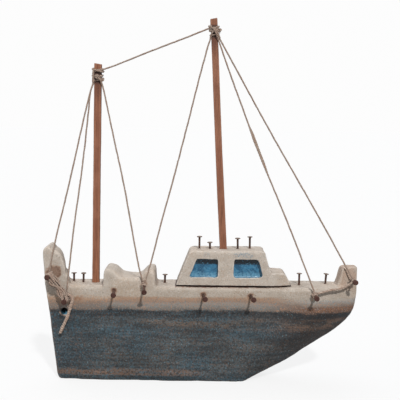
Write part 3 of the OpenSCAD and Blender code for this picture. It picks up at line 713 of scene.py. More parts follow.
def glass_material(name):
    s = Shader(name)
    cloud = s.noise(7, 3, 0.6)
    small = s.noise(1.6, 2, 0.5, offset=(2, 9, 3))
    fleck = s.noise(0.9, 1, 0.5, offset=(20, 9, 3))
    low = s.step(s.z, 114, 108.5)
    col = s.mix(s.step(cloud, 0.36, 0.62), srgb(30, 80, 110), srgb(52, 114, 146))
    # painted shadow: a near-black band along the top of each pool, where the recess's upper edge shades it
    col = s.mix(s.step(s.math("ADD", s.z, s.math("MULTIPLY", small, 1.5)), 120.3, 121.6),
                col, srgb(9, 30, 44))
    col = s.mix(s.step(small, 0.55, 0.68, 0, 0.55), col, srgb(84, 142, 170))
    # painted light: the lower part of each pool is painted a lighter, mottled blue where the sill is lit
    col = s.mix(s.math("MULTIPLY", low, s.step(small, 0.3, 0.6, 0.3, 0.9)), col,
                srgb(100, 150, 174))
    col = s.mix(s.step(fleck, 0.64, 0.7, 0, 0.7), col, srgb(16, 46, 68))
    return s.set(Base_Color=col, Roughness=s.step(small, 0.3, 0.7, 0.22, 0.42),
                 Coat_Weight=0.3, Coat_Roughness=0.12,
                 Normal=s.bump(s.math("ADD", cloud, s.math("MULTIPLY", small, 0.4)), 0.4, 0.0006))


MAT_HULL = clay_material("hull_clay", True)
MAT_CABIN = clay_material("cabin_clay", False)
MAT_MIZZEN = wood_material("mizzen_wood", 0.58, 3, 312)
MAT_MAIN = wood_material("main_wood", -RAKE, 17, 359, 0.93)
MAT_NAIL = rust_material("nail_rust", srgb(122, 104, 92), srgb(146, 112, 90))
MAT_SIDE_NAIL = rust_material("side_nail_rust", srgb(76, 46, 38), srgb(108, 70, 54))
MAT_TWINE = twine_material("twine", 1.07)
MAT_TAIL = twine_material("pale_twine", 1.16)
MAT_WINDOW = glass_material("window_pool")

# ---------------------------------------------------------------- free cords
for seed, (node, route) in enumerate(STAYS.items()):
    pile = Pile()
    path = twist(pile, route, STAY, seed=seed + 1, wobble=0.12)
    fuzz(pile, path, STAY, int(length_of(path) / 3.2), seed + 50)
    if node == "main_forestay":  # a stretch where the lay has opened
        part = path[(path[:, 2] < 261) & (path[:, 2] > 208)][::6]
        part = part[np.argsort(-part[:, 2])]
        swell = np.sin(np.pi * np.linspace(0, 1, len(part)) ** 0.8)[:, None]
        for k, side in enumerate(([-0.8, -0.3, -0.25], [0.75, 0.2, 0.25])):
            turn = 0.25 * np.sin(np.linspace(0, 9 + k, len(part)))[:, None] * swell
            loose = part + (swell * 1.15 + turn) * np.array(side)
            twist(pile, list(loose), 1.35, pitch=6.0, lobes=2, seed=90 + k, depth=0.34)
        fuzz(pile, part, 2.4, 26, 93, 2.0)
    piece = pile.make(node + "_twine", MAT_TWINE, "boat", "hemp_twine", with_uv=True)
    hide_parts(node)

pile = Pile()
path = twist(pile, RAIL_LASH, RAIL_D, pitch=8.5, lobes=2, step=0.5, seed=31, depth=0.42)
fuzz(pile, path, RAIL_D, 30, 71)
piece = pile.make("bow_rail_lashing_twine", MAT_TWINE, "boat", "hemp_twine", with_uv=True)
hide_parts("bow_rail_lashing")

pile = Pile()
path = twist(pile, TAIL, TAIL_D, pitch=7.0, lobes=3, step=0.5, seed=41, wobble=0.1, depth=0.26,
             full=1.3)
fuzz(pile, path, TAIL_D, 46, 72, 2.6)
rng = np.random.default_rng(5)
for _ in range(26):  # the frayed end
    a = rng.uniform(0, 2 * np.pi)
    out = np.array([math.cos(a), 0.7 * math.sin(a), 0.0])
    root = path[-4] + out * rng.uniform(0.1, 0.8)
    tip = root + np.array([-0.6, 0.1, -2.4]) + out * rng.uniform(0.4, 2.0)
    fibre(pile, [root, (root + tip) / 2 + 0.3 * rng.standard_normal(3), tip], 0.1, 0.03, 4, 0.4)
piece = pile.make("twine_tail_twine", MAT_TAIL, "tail", "hemp_twine", with_uv=True)
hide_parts("twine_tail")


# ---------------------------------------------------------------- clay
def plain_object(name, verts, faces):
    mesh = bpy.data.meshes.new(name)
    mesh.from_pydata([tuple(v) for v in np.asarray(verts, float)], [], faces)
    mesh.update()
    obj = bpy.data.objects.new(name, mesh)
    scene.collection.objects.link(obj)
    return obj


def prism(name, outline, axis, a, b):
    """An outline in the other two axes, drawn out along one from a to b (mm)."""
    n = len(outline)
    def at(p, t):
        return {"x": (t, p[0], p[1]), "y": (p[0], t, p[1]), "z": (p[0], p[1], t)}[axis]
    v = [at(p, a) for p in outline] + [at(p, b) for p in outline]
    f = [tuple(range(n)), tuple(range(2 * n - 1, n - 1, -1))]
    f += [(i, i + n, (i + 1) % n + n, (i + 1) % n) for i in range(n)]
    obj = plain_object(name, v, f)
    bm = bmesh.new()
    bm.from_mesh(obj.data)
    bmesh.ops.recalc_face_normals(bm, faces=bm.faces)
    bm.to_mesh(obj.data)
    bm.free()
    return obj


def bake(obj):
    """The object's mesh with its modifiers, as a new mesh."""
    deps = bpy.context.evaluated_depsgraph_get()
    mesh = bpy.data.meshes.new_from_object(obj.evaluated_get(deps))
    obj.modifiers.clear()
    return mesh


def boolean(obj, other, op):
    m = obj.modifiers.new("b", "BOOLEAN")
    m.operation = op
    m.object = other
    m.solver = "EXACT"
    mesh = bake(obj)
    obj.data = mesh
    bpy.data.objects.remove(other)


def interp(table, x):
    t = np.array(table, float)
    return float(np.interp(x, t[:, 0], t[:, 1]))


def hull_ring(x):
    zb, zt, b = interp(KEEL, x), DECK + interp(RISE, x), interp(BREADTH, x)
    r = min(4.0, 0.42 * (zt - zb))
    tuck, swell = interp(TUCK, x), interp(SWELL, x)
    zs = zt - r
    h = min(swell, 0.8 * (zs - zb))
    bb = max(1.0, b - tuck)
    half = [(0.0, zb), (bb, zb)]
    half += [(bb + (b - bb) * math.sin(math.pi / 2 * k / 10), zb + h * k / 10)
             for k in range(1, 11)]
    half += [(b, zs)]
    half += [(b - r + r * math.cos(a), zs + r * math.sin(a)) for a in np.radians([15, 30, 45, 60, 75, 90])]
    half += [(0.0, zt)]
    ring = half + [(-p[0], p[1]) for p in half[-2:0:-1]]
    turn = interp(TURN, x)
    return [(x - turn * p[0] * max(0.0, min(1.0, (p[1] - 70) / 28)), p[0], p[1]) for p in ring]


def loft(rings):
    n, m = len(rings[0]), len(rings)
    v = [p for g in rings for p in g]
    f = [tuple(range(n - 1, -1, -1)), tuple((m - 1) * n + i for i in range(n))]
    f += [(j * n + i, j * n + (i + 1) % n, (j + 1) * n + (i + 1) % n, (j + 1) * n + i)
          for j in range(m - 1) for i in range(n)]
    return v, f


def clay(name, source, voxel, rounds, lumps, material, replaced, masks):
    """Remeshes source (mm) finely, softens it and gives it hand-made lumps."""
    m = source.modifiers.new("r", "REMESH")
    m.mode = "VOXEL"
    m.voxel_size = voxel
    mesh = bake(source)
    bpy.data.objects.remove(source)
    n = len(mesh.vertices)
    v = np.empty(n * 3, np.float32)
    mesh.vertices.foreach_get("co", v)
    v = v.reshape(-1, 3).astype(float)
    e = np.empty(len(mesh.edges) * 2, np.int32)
    mesh.edges.foreach_get("vertices", e)
    e = e.reshape(-1, 2)
    count = np.bincount(e.ravel(), minlength=n)[:, None].astype(float)

    def around(val):
        out = np.zeros_like(val)
        np.add.at(out, e[:, 0], val[e[:, 1]])
        np.add.at(out, e[:, 1], val[e[:, 0]])
        return out / np.maximum(count if val.ndim > 1 else count[:, 0], 1)

    def normals():
        mesh.vertices.foreach_set("co", v.astype(np.float32).ravel())
        mesh.update()
        out = np.empty(n * 3, np.float32)
        mesh.vertex_normals.foreach_get("vector", out)
        return out.reshape(-1, 3).astype(float)

    for _ in range(rounds):
        v += 0.5 * (around(v) - v)
    nrm = normals()
    for size, amount, seed in lumps:
        v += nrm * (amount * noise3(v, size, seed))[:, None]
    nrm = normals()
    edge = -np.einsum("ij,ij->i", around(v) - v, nrm) / voxel
    for _ in range(2):
        edge = 0.5 * edge + 0.5 * around(edge)
    data = {"edge": np.clip(edge * 9, -1, 1)}
    shift = masks(v, nrm, data)
    if shift is not None:
        v += nrm * shift[:, None]
    mesh.vertices.foreach_set("co", (v * MM).astype(np.float32).ravel())
    for key, val in data.items():
        layer = mesh.attributes.new(key, "FLOAT", "POINT")
        layer.data.foreach_set("value", val.astype(np.float32))
    mesh.polygons.foreach_set("use_smooth", np.ones(len(mesh.polygons), bool))
    mesh.materials.clear()
    mesh.materials.append(material)
    mesh.update()
    mesh.name = name
    obj = bpy.data.objects.new(name, mesh)
    scene.collection.objects.link(obj)
    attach(obj, "boat")
    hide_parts(replaced)
    return obj


def bump_on(x, a, b):
    t = np.clip((x - a) / (b - a), 0, 1)
    return t * t * (3 - 2 * t)


def nail_stain(v, data, feet):
    """Rust that has run round the foot of each nail, and a shallow seat."""
    rust = np.zeros(len(v))
    shift = np.zeros(len(v))
    wander = noise3(v, 2.2, 77)
    for foot, size, amount in feet:
        d = np.linalg.norm(v - np.array(foot), axis=1)
        dz = v[:, 2] - foot[2]
        r = d + 0.8 * wander - 0.25 * np.clip(-dz, 0, 4)
        rust = np.maximum(rust, amount * (1 - bump_on(r, 0.5 * size, size)))
        shift += -0.35 * np.exp(-(d / 1.5) ** 2) + 0.12 * np.exp(-((d - 2.6) / 0.8) ** 2)
    data["rust"] = rust
    return shift


xs = sorted(set(STATIONS) | set(np.arange(-156, 161, 3.0)))
src = plain_object("src_hull", *loft([hull_ring(x) for x in xs]))
for vert in src.data.vertices:  # room for the softened rims at both ends
    if vert.co.x < -157.9:
        vert.co.x -= 0.4
    if vert.co.x > 161.7:
        vert.co.x += 0.4
post = prism("post_a", [[142, DECK - 6], [141.2, DECK + 0.6], [142.6, DECK + 4],
    [144, DECK + 8], [145, DECK + 13], [145.8, DECK + 16.6], [147.2, DECK + 19],
    [149.5, DECK + 20], [152, DECK + 20.1], [161.4, DECK + 20.1], [162.1, DECK + 19.9],
    [162.2, DECK + 18.6], [162, DECK - 1.5], [157, DECK - 6]], "y", -30, 30)
boolean(post, prism("post_b", [[140, -8.6], [141.6, -10], [144, -10.4], [150, -9.6],
    [157, -7.9], [160.6, -6.8], [162.6, -6], [162.6, 6], [160.6, 6.8], [157, 7.9],
    [150, 9.6], [144, 10.4], [141.6, 10], [140, 8.6]], "z", 0, 130), "INTERSECT")
boolean(post, prism("post_c", [[-12, 0], [12, 0], [12, DECK + 14], [9.4, DECK + 18.4],
    [7.4, DECK + 20.4], [4.6, DECK + 21.4], [-4.6, DECK + 21.4], [-7.4, DECK + 20.4],
    [-9.4, DECK + 18.4], [-12, DECK + 14]], "x", 130, 170), "INTERSECT")
boolean(src, post, "UNION")
angle = np.linspace(0, 2 * np.pi, 24, endpoint=False)
boolean(src, prism("vent", [(-136.6 + 3.5 * math.cos(a), 71 + 3.5 * math.sin(a)) for a in angle],
                   "y", -26, -14.6), "DIFFERENCE")
boolean(src, prism("vent_top", [(-136.6 + 2.9 * math.cos(a), 71.6 + 2.6 * math.sin(a))
                                for a in angle], "y", -26, -6.5), "DIFFERENCE")

SIDE_FEET = [(NAILS["quarter_nail"][0][0], 4.6, 0.7)]
SIDE_FEET += [(n[0], 3.9, 1.0) for n in NAILS["rail_nails"]]
SIDE_FEET += [(NAILS[k][0][0], 3.8, 1.0) for k in ("waist_nail", "foreside_nail", "bow_nail")]
DECK_FEET = [(n[0], 2.8, 0.8) for k in ("aft_deck_nails", "midship_deck_nail", "foredeck_nails")
             for n in NAILS[k]]


def hull_masks(v, nrm, data):
    shift = nail_stain(v, data, SIDE_FEET + DECK_FEET)
    # the wide stain round the stern post's nail
    foot = np.array(NAILS["sternpost_nail"][0][0])
    r = np.hypot((v[:, 0] - foot[0] - 2.2) / 9.2, (v[:, 2] - foot[2] - 0.8) / 8.8)
    r = r + 0.14 * noise3(v, 3.0, 5) + 0.1 * noise3(v, 1.4, 6)
    near = bump_on(-v[:, 1], 10, 14)
    stain = near * (1 - bump_on(r, 0.74, 1.02)) * (0.84 + 0.12 * bump_on(r, 0.5, 0.85))
    data["rust"] = np.maximum(data["rust"], stain)
    # rusty runs ahead of the quarter nail
    run = np.hypot((v[:, 0] + 121.5 - 0.9 * (v[:, 2] - 85)) / 6.5, (v[:, 2] - 85) / 3.6)
    run = (1 - bump_on(run + 0.35 * noise3(v, 2.0, 8), 0.4, 1.0)) * near
    data["rust"] = np.maximum(data["rust"], 0.72 * run * bump_on(noise3(v, 1.7, 18), -0.5, 0.3))
    # the vent: a light glazed rim, pooled blue below, and its upper inside painted dark as painted shade
    d = np.hypot(v[:, 0] + 136.6, v[:, 2] - 71)
    near = bump_on(-v[:, 1], 5, 8) * (1 - bump_on(d, 4.6, 5.4))
    deep = bump_on(v[:, 1], -17.4, -16.2) * near
    data["hole"] = deep * bump_on(v[:, 2], 68.8, 71.2) * (1 - bump_on(d, 3.9, 4.4))
    data["pool"] = near * bump_on(-v[:, 2], -71.4, -69.6) * (1 - bump_on(d, 3.6, 4.1))
    lip = near * bump_on(d, 3.6, 4.1) * (1 - bump_on(d, 4.7, 5.3)) * bump_on(-v[:, 2], -71.5, -69)
    data["lip"] = lip
    return shift


clay("hull_clay", src, 0.95, 2,
     [(26, 0.32, 11), (9, 0.16, 12), (3.2, 0.07, 13)], MAT_HULL, "hull", hull_masks)

cab = plain_object("src_cabin", np.zeros((0, 3)), [])
cab.data = NODES["cabin"].data.copy()
cab.data.transform(Matrix.Scale(1000, 4))
bm = bmesh.new()
bm.from_mesh(cab.data)
bmesh.ops.remove_doubles(bm, verts=bm.verts, dist=0.001)
bm.to_mesh(cab.data)
bm.free()


def cabin_masks(v, nrm, data):
    shift = nail_stain(v, data, [(n[0], 2.8, 0.8) for n in NAILS["cabin_roof_nails"]])
    near = bump_on(-v[:, 1], 13, 17)
    z = v[:, 2]
    over = bump_on(z, 127.2, 128.6) * (1 - bump_on(z, 132.5, 134))
    fore = bump_on(v[:, 0], 33, 37) * (1 - bump_on(v[:, 0], 52, 56))
    aft = 0.5 * bump_on(v[:, 0], 3, 6) * (1 - bump_on(v[:, 0], 9, 12))
    data["blue"] = near * over * (fore + aft) * 0.8
    # glaze has run over the walls of both recesses
    inside = np.zeros(len(v))
    for outline in (AFT_WINDOW, FORE_WINDOW):
        q = np.array(outline, float)
        mid = q.mean(axis=0)
        q = mid + (q - mid) * (1 + 1.3 / np.linalg.norm(q - mid, axis=1))[:, None]
        hit = np.zeros(len(v), bool)
        for k in range(len(q)):
            a, b = q[k], q[(k + 1) % len(q)]
            cut = (a[1] > z) != (b[1] > z)
            at = a[0] + (z - a[1]) * (b[0] - a[0]) / (b[1] - a[1] if b[1] != a[1] else 1e-9)
            hit ^= cut & (v[:, 0] < at)
        inside = np.maximum(inside, hit * 1.0)
    deep = 17.75 + 0.3 * noise3(v, 1.6, 44)
    data["pane"] = inside * bump_on(-np.abs(v[:, 1]), -deep, -deep + 0.45)
    return shift


clay("cabin_clay", cab, 0.62, 2,
     [(18, 0.2, 21), (6, 0.12, 22), (2.2, 0.06, 23)], MAT_CABIN, "cabin", cabin_masks)

# ---------------------------------------------------------------- window pools
pile = Pile()
for side in (-1, 1):
    for outline in (AFT_WINDOW, FORE_WINDOW):
        q = np.array(outline + outline[:1], float)
        s = np.concatenate([[0], np.cumsum(np.linalg.norm(np.diff(q, axis=0), axis=1))])
        at = np.linspace(0, s[-1], 96, endpoint=False)
        rim = np.stack([np.interp(at, s, q[:, k]) for k in range(2)], axis=1)
        mid = rim.mean(axis=0)
        rows, m = [], len(rim)
        for f in (1.0, 0.985, 0.965, 0.94, 0.9, 0.84, 0.76, 0.66, 0.55, 0.43, 0.31, 0.19, 0.08):
            xy = mid + f * (rim - mid)
            off = (1 - f) * np.linalg.norm(rim - mid, axis=1)
            up = 0.5 * np.exp(-off / 0.5)
            pts = np.column_stack([xy[:, 0], np.zeros(m), xy[:, 1]])
            up = up + 0.12 * noise3(pts, 4.0, 9) + 0.05 * noise3(pts, 1.5, 10)
            rows.append(np.column_stack([xy[:, 0], side * (HW - 5.8 + 0.72 + up), xy[:, 1]]))
        back = np.column_stack([rim[:, 0], np.full(m, side * (HW - 5.8)), rim[:, 1]])
        v = np.vstack([back] + rows)
        f = []
        for j in range(len(rows)):
            for i in range(m):
                a, b = j * m + i, j * m + (i + 1) % m
                f.append((a, b, b + m, a + m) if side > 0 else (a, a + m, b + m, b))
        last = len(rows) * m
        f.append(tuple(last + i for i in (range(m) if side > 0 else range(m - 1, -1, -1))))
        f.append(tuple(range(m - 1, -1, -1)) if side > 0 else tuple(range(m)))
        pile.add(v, f)
piece = pile.make("window_pools", MAT_WINDOW, "boat", "window_glaze")
bm = bmesh.new()
bm.from_mesh(piece.data)
bmesh.ops.recalc_face_normals(bm, faces=bm.faces)
bm.to_mesh(piece.data)
bm.free()
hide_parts("window_glaze")


# ---------------------------------------------------------------- masts
def spar(name, node, x0, w, z0, z1, rake, cut_x, cut_y, material, seed, width, bow=0.0):
    """A strip-wood spar with eased edges and a hand-sawn slanted top."""
    k, c = 5, 0.75
    ring = []
    for sx, sy, a0 in ((1, 1, 0), (-1, 1, 90), (-1, -1, 180), (1, -1, 270)):
        for a in np.radians(np.linspace(a0, a0 + 90, k)):
            ring.append((sx * (w / 2 - c) + c * math.cos(a), sy * (MAST_D / 2 - c) + c * math.sin(a)))
    pts = []
    for i, p in enumerate(ring):
        q = ring[(i + 1) % len(ring)]
        pts.append(p)
        gap = math.hypot(q[0] - p[0], q[1] - p[1])
        if gap > 1.5:
            for t in (0.2, 0.4, 0.6, 0.8):
                pts.append((p[0] + t * (q[0] - p[0]), p[1] + t * (q[1] - p[1])))
    ring = np.array(pts)
    corner = np.minimum(1, np.maximum(0, (np.hypot(ring[:, 0] / (w / 2), ring[:, 1] / (MAST_D / 2)) - 1.1) / 0.25))
    zs = list(np.arange(z0, z1 - 4, 1.6)) + list(np.linspace(z1 - 4, z1, 6))
    tan = math.tan(math.radians(rake))
    m = len(ring)
    v = []
    for z in zs:
        t = max(0.0, (z - (z1 - 4)) / 4)
        x = x0 - (z - z0) * tan
        dz = t * (ring[:, 0] * cut_x + ring[:, 1] * cut_y)
        shrink = 1 - 0.06 * max(0.0, t - 0.7) / 0.3
        shrink *= interp(width, z)
        x += bow * math.sin(math.pi * max(0.0, min(1.0, (z - 140) / 185)))
        v.append(np.column_stack([x + ring[:, 0] * shrink - dz * tan, ring[:, 1] * shrink,
                                  z + dz - 0.9 * t]))
    v = np.vstack(v)
    nudge = np.stack([noise3(v * [1, 1, 0.16], 3.0, seed + j) for j in range(2)], axis=1)
    nudge += 0.6 * np.stack([noise3(v * [1, 1, 0.5], 1.2, seed + 4 + j) for j in range(2)], axis=1)
    v[:, :2] += 0.09 * nudge
    n = len(zs)
    top = v[-m:].mean(axis=0)
    inner = top + 0.55 * (v[-m:] - top)
    inner[:, 2] += 0.12 * noise3(inner, 1.0, seed + 9)
    v = np.vstack([v, inner, [top]])
    f = [(j * m + i, j * m + (i + 1) % m, (j + 1) * m + (i + 1) % m, (j + 1) * m + i)
         for j in range(n) for i in range(m)]
    f += [(n * m + i, n * m + (i + 1) % m, (n + 1) * m) for i in range(m)]
    f.append(tuple(range(m - 1, -1, -1)))
    piece = Pile().add(v, f).make(name, material, "boat", "stained_wood")
    layer = piece.data.attributes.new("edge", "FLOAT", "POINT")
    e = np.concatenate([np.tile(corner, n + 1), [0.0]])
    layer.data.foreach_set("value", e.astype(np.float32))
    m2 = piece.modifiers.new("w", "WEIGHTED_NORMAL")
    m2.keep_sharp = True
    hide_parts(node)
    return piece


spar("mizzen_spar", "mizzen_mast", -106.8, MIZZEN_W, 84.2, MIZZEN_TOP - 0.7, -0.58,
     -0.16, 0.07, MAT_MIZZEN, 61, [[84, 1], [300, 1], [310, 1.03], [330, 1.04]])
spar("main_spar", "main_mast", 24.6 + (134 - (DECK + 0.1)) * math.tan(math.radians(RAKE)), MAIN_W,
     DECK + 0.1, MAIN_TOP + 0.4, RAKE, 0.18, -0.07, MAT_MAIN, 81,
     [[98, 1.05], [190, 1.05], [240, 0.98], [345, 0.98], [353, 1.03], [370, 1.04]], -0.4)


# ---------------------------------------------------------------- nails
def nail(pile, heads, foot, direction, out, deep, seed):
    d, a, b = axes_of(direction)
    rng = np.random.default_rng(seed)
    prof = [(-deep, 0.12), (-deep + 1.8, SHANK * 0.93), (-deep + 2.6, SHANK)]
    prof += [(s, SHANK) for s in np.linspace(-deep + 4, out - 4.6, 14)]
    for g in range(4):  # the grip marks under the head
        s = out - 4.2 + 0.62 * g
        prof += [(s, SHANK), (s + 0.16, SHANK + 0.09), (s + 0.34, SHANK - 0.02)]
    prof += [(out - HEAD_T - 0.75, SHANK), (out - HEAD_T - 0.35, SHANK + 0.28),
             (out - HEAD_T - 0.08, 1.75), (out - HEAD_T, HEAD - 0.35),
             (out - HEAD_T + 0.12, HEAD - 0.04), (out - 0.34, HEAD), (out - 0.12, HEAD - 0.16),
             (out - 0.03, HEAD - 0.5), (out, HEAD * 0.55), (out + 0.0, 0.35)]
    m = 22
    ang = 2 * np.pi * np.arange(m) / m
    lean = rng.uniform(-0.06, 0.06, 2)
    oval = 1 + rng.uniform(0.0, 0.05) * np.cos(2 * (ang - rng.uniform(0, 3)))
    foot = np.array(foot, float)
    rows, mark = [], []
    for s, r in prof:
        on_head = s > out - HEAD_T - 0.1
        rr = r * (oval if on_head else 1.0) * np.ones(m)
        tip = (lean[0] * np.cos(ang) + lean[1] * np.sin(ang)) * rr if on_head else 0
        rows.append(foot + d * s + np.outer(tip + np.zeros(m), d)
                    + np.outer(rr * np.cos(ang), a) + np.outer(rr * np.sin(ang), b))
        mark += [1.0 if on_head else 0.0] * m
    v = np.vstack(rows)
    c = foot + np.outer(np.repeat([p[0] for p in prof], m), d)
    away = v - c
    length = np.maximum(1e-6, np.linalg.norm(away, axis=1))
    v = v + away / length[:, None] * (0.045 * noise3(v, 0.9, seed) * np.minimum(1, length / 0.8))[:, None]
    v = v + np.outer(0.05 * noise3(v, 1.6, seed + 3) * (np.array(mark) > 0.5), d)
    n = len(prof)
    f = [(j * m + i, j * m + (i + 1) % m, (j + 1) * m + (i + 1) % m, (j + 1) * m + i)
         for j in range(n - 1) for i in range(m)]
    f.append(tuple(range(m - 1, -1, -1)))
    f.append(tuple((n - 1) * m + i for i in range(m)))
    pile.add(v, f)
    heads += mark


for seed, (node, group) in enumerate(NAILS.items()):
    pile, heads = Pile(), []
    for k, (foot, direction, out, deep) in enumerate(group):
        nail(pile, heads, foot, direction, out, deep, 100 * seed + 7 * k + 3)
    on_top = node in ("aft_deck_nails", "midship_deck_nail", "cabin_roof_nails", "foredeck_nails")
    piece = pile.make(node + "_steel", MAT_NAIL if on_top else MAT_SIDE_NAIL, "boat",
                      "rusty_steel")
    layer = piece.data.attributes.new("head", "FLOAT", "POINT")
    layer.data.foreach_set("value", np.array(heads, np.float32))
    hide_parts(node)


# ---------------------------------------------------------------- lashings
def nail_at(node, s, k=0):
    foot, direction = NAILS[node][k][:2]
    return np.array(foot, float) + s * unit(direction)


def coil(node, s0, turns, d, gap=0.0, step=None, start=0.0, jitter=0.15, seed=1, lean=0.0):
    """Points of twine wound on a nail's shank."""
    dd, a, b = axes_of(NAILS[node][0][1])
    foot = np.array(NAILS[node][0][0], float)
    step = d * 0.86 if step is None else step
    n = int(turns * 12) + 1
    out = []
    rng = np.random.default_rng(seed)
    for i in range(n):
        t = i / 12
        ang = 2 * np.pi * t + start
        r = SHANK + gap + d / 2 + jitter * 0.3 * rng.uniform(-1, 1)
        s = s0 + d / 2 + step * t + lean * math.cos(ang)
        out.append(foot + dd * s + r * (math.cos(ang) * a + math.sin(ang) * b))
    return out


def trefoil(centre, size, turn, n=26):
    out = []
    ca, sa = math.cos(turn), math.sin(turn)
    for i in range(n):
        t = 2 * np.pi * i / n
        x, y, z = math.sin(t) + 2 * math.sin(2 * t), math.cos(t) - 2 * math.cos(2 * t), -1.25 * math.sin(3 * t)
        x, y = ca * x - sa * y, sa * x + ca * y
        out.append([centre[0] + size * x, centre[1] + size * z, centre[2] + size * y])
    return out


# where each knot sits, from the middle of its turns
KNOTS = {"sternpost_turns": (0.6, -0.3, 1.5), "quarter_turns": (1.2, -0.2, 1.6),
         "waist_turns": (-0.2, -0.3, 1.6), "foreside_turns": (-1.4, -0.3, 1.3),
         "bow_turns": (-1.8, -0.2, 0.9)}
TURNS = {"sternpost_turns": ("sternpost_nail", 2.4, 3.0), "quarter_turns": ("quarter_nail", 4.7, 3.0),
         "waist_turns": ("waist_nail", 2.6, 3.0), "foreside_turns": ("foreside_nail", 2.4, 3.0),
         "bow_turns": ("bow_nail", 4.4, 3.0)}
for seed, (node, (nail_node, s0, count)) in enumerate(TURNS.items()):
    pile = Pile()
    p = twist(pile, coil(nail_node, s0, count - 0.35, STAY, seed=seed, start=0.7 * seed, lean=0.15),
              STAY, step=0.3, seed=200 + seed, pitch=3.6)
    fuzz(pile, p, STAY, 14, 300 + seed, 2.4)
    tie = nail_at(nail_node, s0 + 1.6) + np.array(KNOTS[node])
    p = twist(pile, trefoil(tie, 0.62, 0.5 + seed), 1.35, step=0.3, seed=240 + seed, closed=True,
              pitch=3.6)
    fuzz(pile, p, 1.35, 12, 340 + seed, 2.6)
    piece = pile.make(node + "_twine", MAT_TWINE, "boat", "hemp_twine", with_uv=True)
    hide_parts(node)

pile = Pile()
p = twist(pile, coil("quarter_nail", 2.4, 0.95, 1.6, gap=0.08, start=1.0, step=0.5), 1.6, step=0.3,
          seed=220, pitch=4.0)
piece = pile.make("tail_loop_twine", MAT_TWINE, "tail", "hemp_twine", with_uv=True)
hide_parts("tail_loop")


def round_mast(x, z, w, tx, ty, turns=1.0, dz=0.0, start=0.0, grow=0.0, d=STAY):
    """Points of twine wound on a mast."""
    a, b, c = w / 2 + d / 2 + grow, MAST_D / 2 + d / 2 + grow, 1.1
    out = []
    n = int(16 * turns) + 1
    for i in range(n):
        ang = start + 2 * np.pi * turns * i / (n - 1 if n > 1 else 1)
        cx, sy = math.cos(ang), math.sin(ang)
        k = (abs(cx) ** 4.2 + abs(sy) ** 4.2) ** (-1 / 4.2)
        px, py = a * cx * k, b * sy * k
        out.append([x + px, py, z + px * tx + py * ty + dz * i / (n - 1)])
    return out


def masthead(name, node, x_at, w, rings, knots, strands, seed):
    pile = Pile()
    for k, (left, right, grow, d) in enumerate(rings):  # turns, by their height at each side
        z = (left + right) / 2
        p = round_mast(x_at(z), z, w, (right - left) / (w + d), 0.12, 1.0, 0.0, 0.3 + k, grow, d)
        p = twist(pile, p[:-1], d, step=0.34, seed=seed + k, closed=True, pitch=4.2, wobble=0.12)
        fuzz(pile, p, d, 12, seed + 60 + k)
    for k, (at, size, d) in enumerate(knots):
        p = twist(pile, trefoil(at, size, 0.4 + seed + k), d, step=0.28, seed=seed + 20 + k,
                  closed=True, pitch=3.6)
        fuzz(pile, p, d, 14, seed + 90 + k, 2.4)
    for k, (points, d) in enumerate(strands):
        p = twist(pile, points, d, step=0.34, seed=seed + 30 + k, pitch=4.2)
        fuzz(pile, p, d, 8, seed + 120 + k)
    piece = pile.make(name, MAT_TWINE, "boat", "hemp_twine", with_uv=True)
    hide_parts(node)


masthead("mizzen_masthead_twine", "mizzen_masthead_lashing",
         lambda z: -106.8 + (z - 84.2) * math.tan(math.radians(0.58)), MIZZEN_W,
         [(314.2, 315.6, 0.0, 1.9), (315.9, 313.6, 0.7, 1.8), (307.6, 309.4, 0.0, 1.8),
          (309.2, 306.2, 0.7, 1.8), (304.4, 306.0, 0.0, 1.6)],
         [((-105.2, -5.9, 308.2), 0.62, 1.45), ((-100.0, -4.6, 304.9), 0.52, 1.4)],
         [([[-108.2, -4.0, 316.2], [-108.7, -4.4, 312.5], [-108.9, -4.5, 308.0],
            [-109.0, -4.4, 304.6], [-108.9, -4.2, 302.0]], 1.9),
          ([[-104.6, -5.8, 307.4], [-102.4, -5.8, 305.8], [-100.9, -5.0, 303.4],
            [-100.2, -4.1, 300.4]], 1.7)], 400)
masthead("main_masthead_twine", "main_masthead_lashing",
         lambda z: 24.6 + (134 - z) * math.tan(math.radians(RAKE)), MAIN_W,
         [(356.2, 359.6, 0.0, 1.8), (359.4, 355.4, 0.7, 1.8), (355.0, 357.2, 0.0, 1.7),
          (350.6, 352.4, 0.0, 1.5)],
         [((17.4, -3.4, 355.6), 0.6, 1.45), ((8.6, -4.2, 358.6), 0.42, 1.4)],
         [([[10.2, -4.8, 358.2], [11.8, -6.1, 356.4], [13.4, -6.2, 353.9], [14.8, -5.6, 351.0],
            [15.8, -4.8, 348.6], [16.6, -4.2, 345.8]], 1.8),
          ([[11.4, -5.0, 358.4], [13.2, -6.2, 356.4], [14.9, -6.0, 353.6], [16.5, -5.2, 350.8],
            [18.0, -4.4, 347.4]], 1.8),
          ([[12.0, -5.4, 355.4], [10.3, -5.6, 353.2], [9.1, -4.9, 350.6], [8.3, -4.5, 347.0]], 1.6)],
         500)

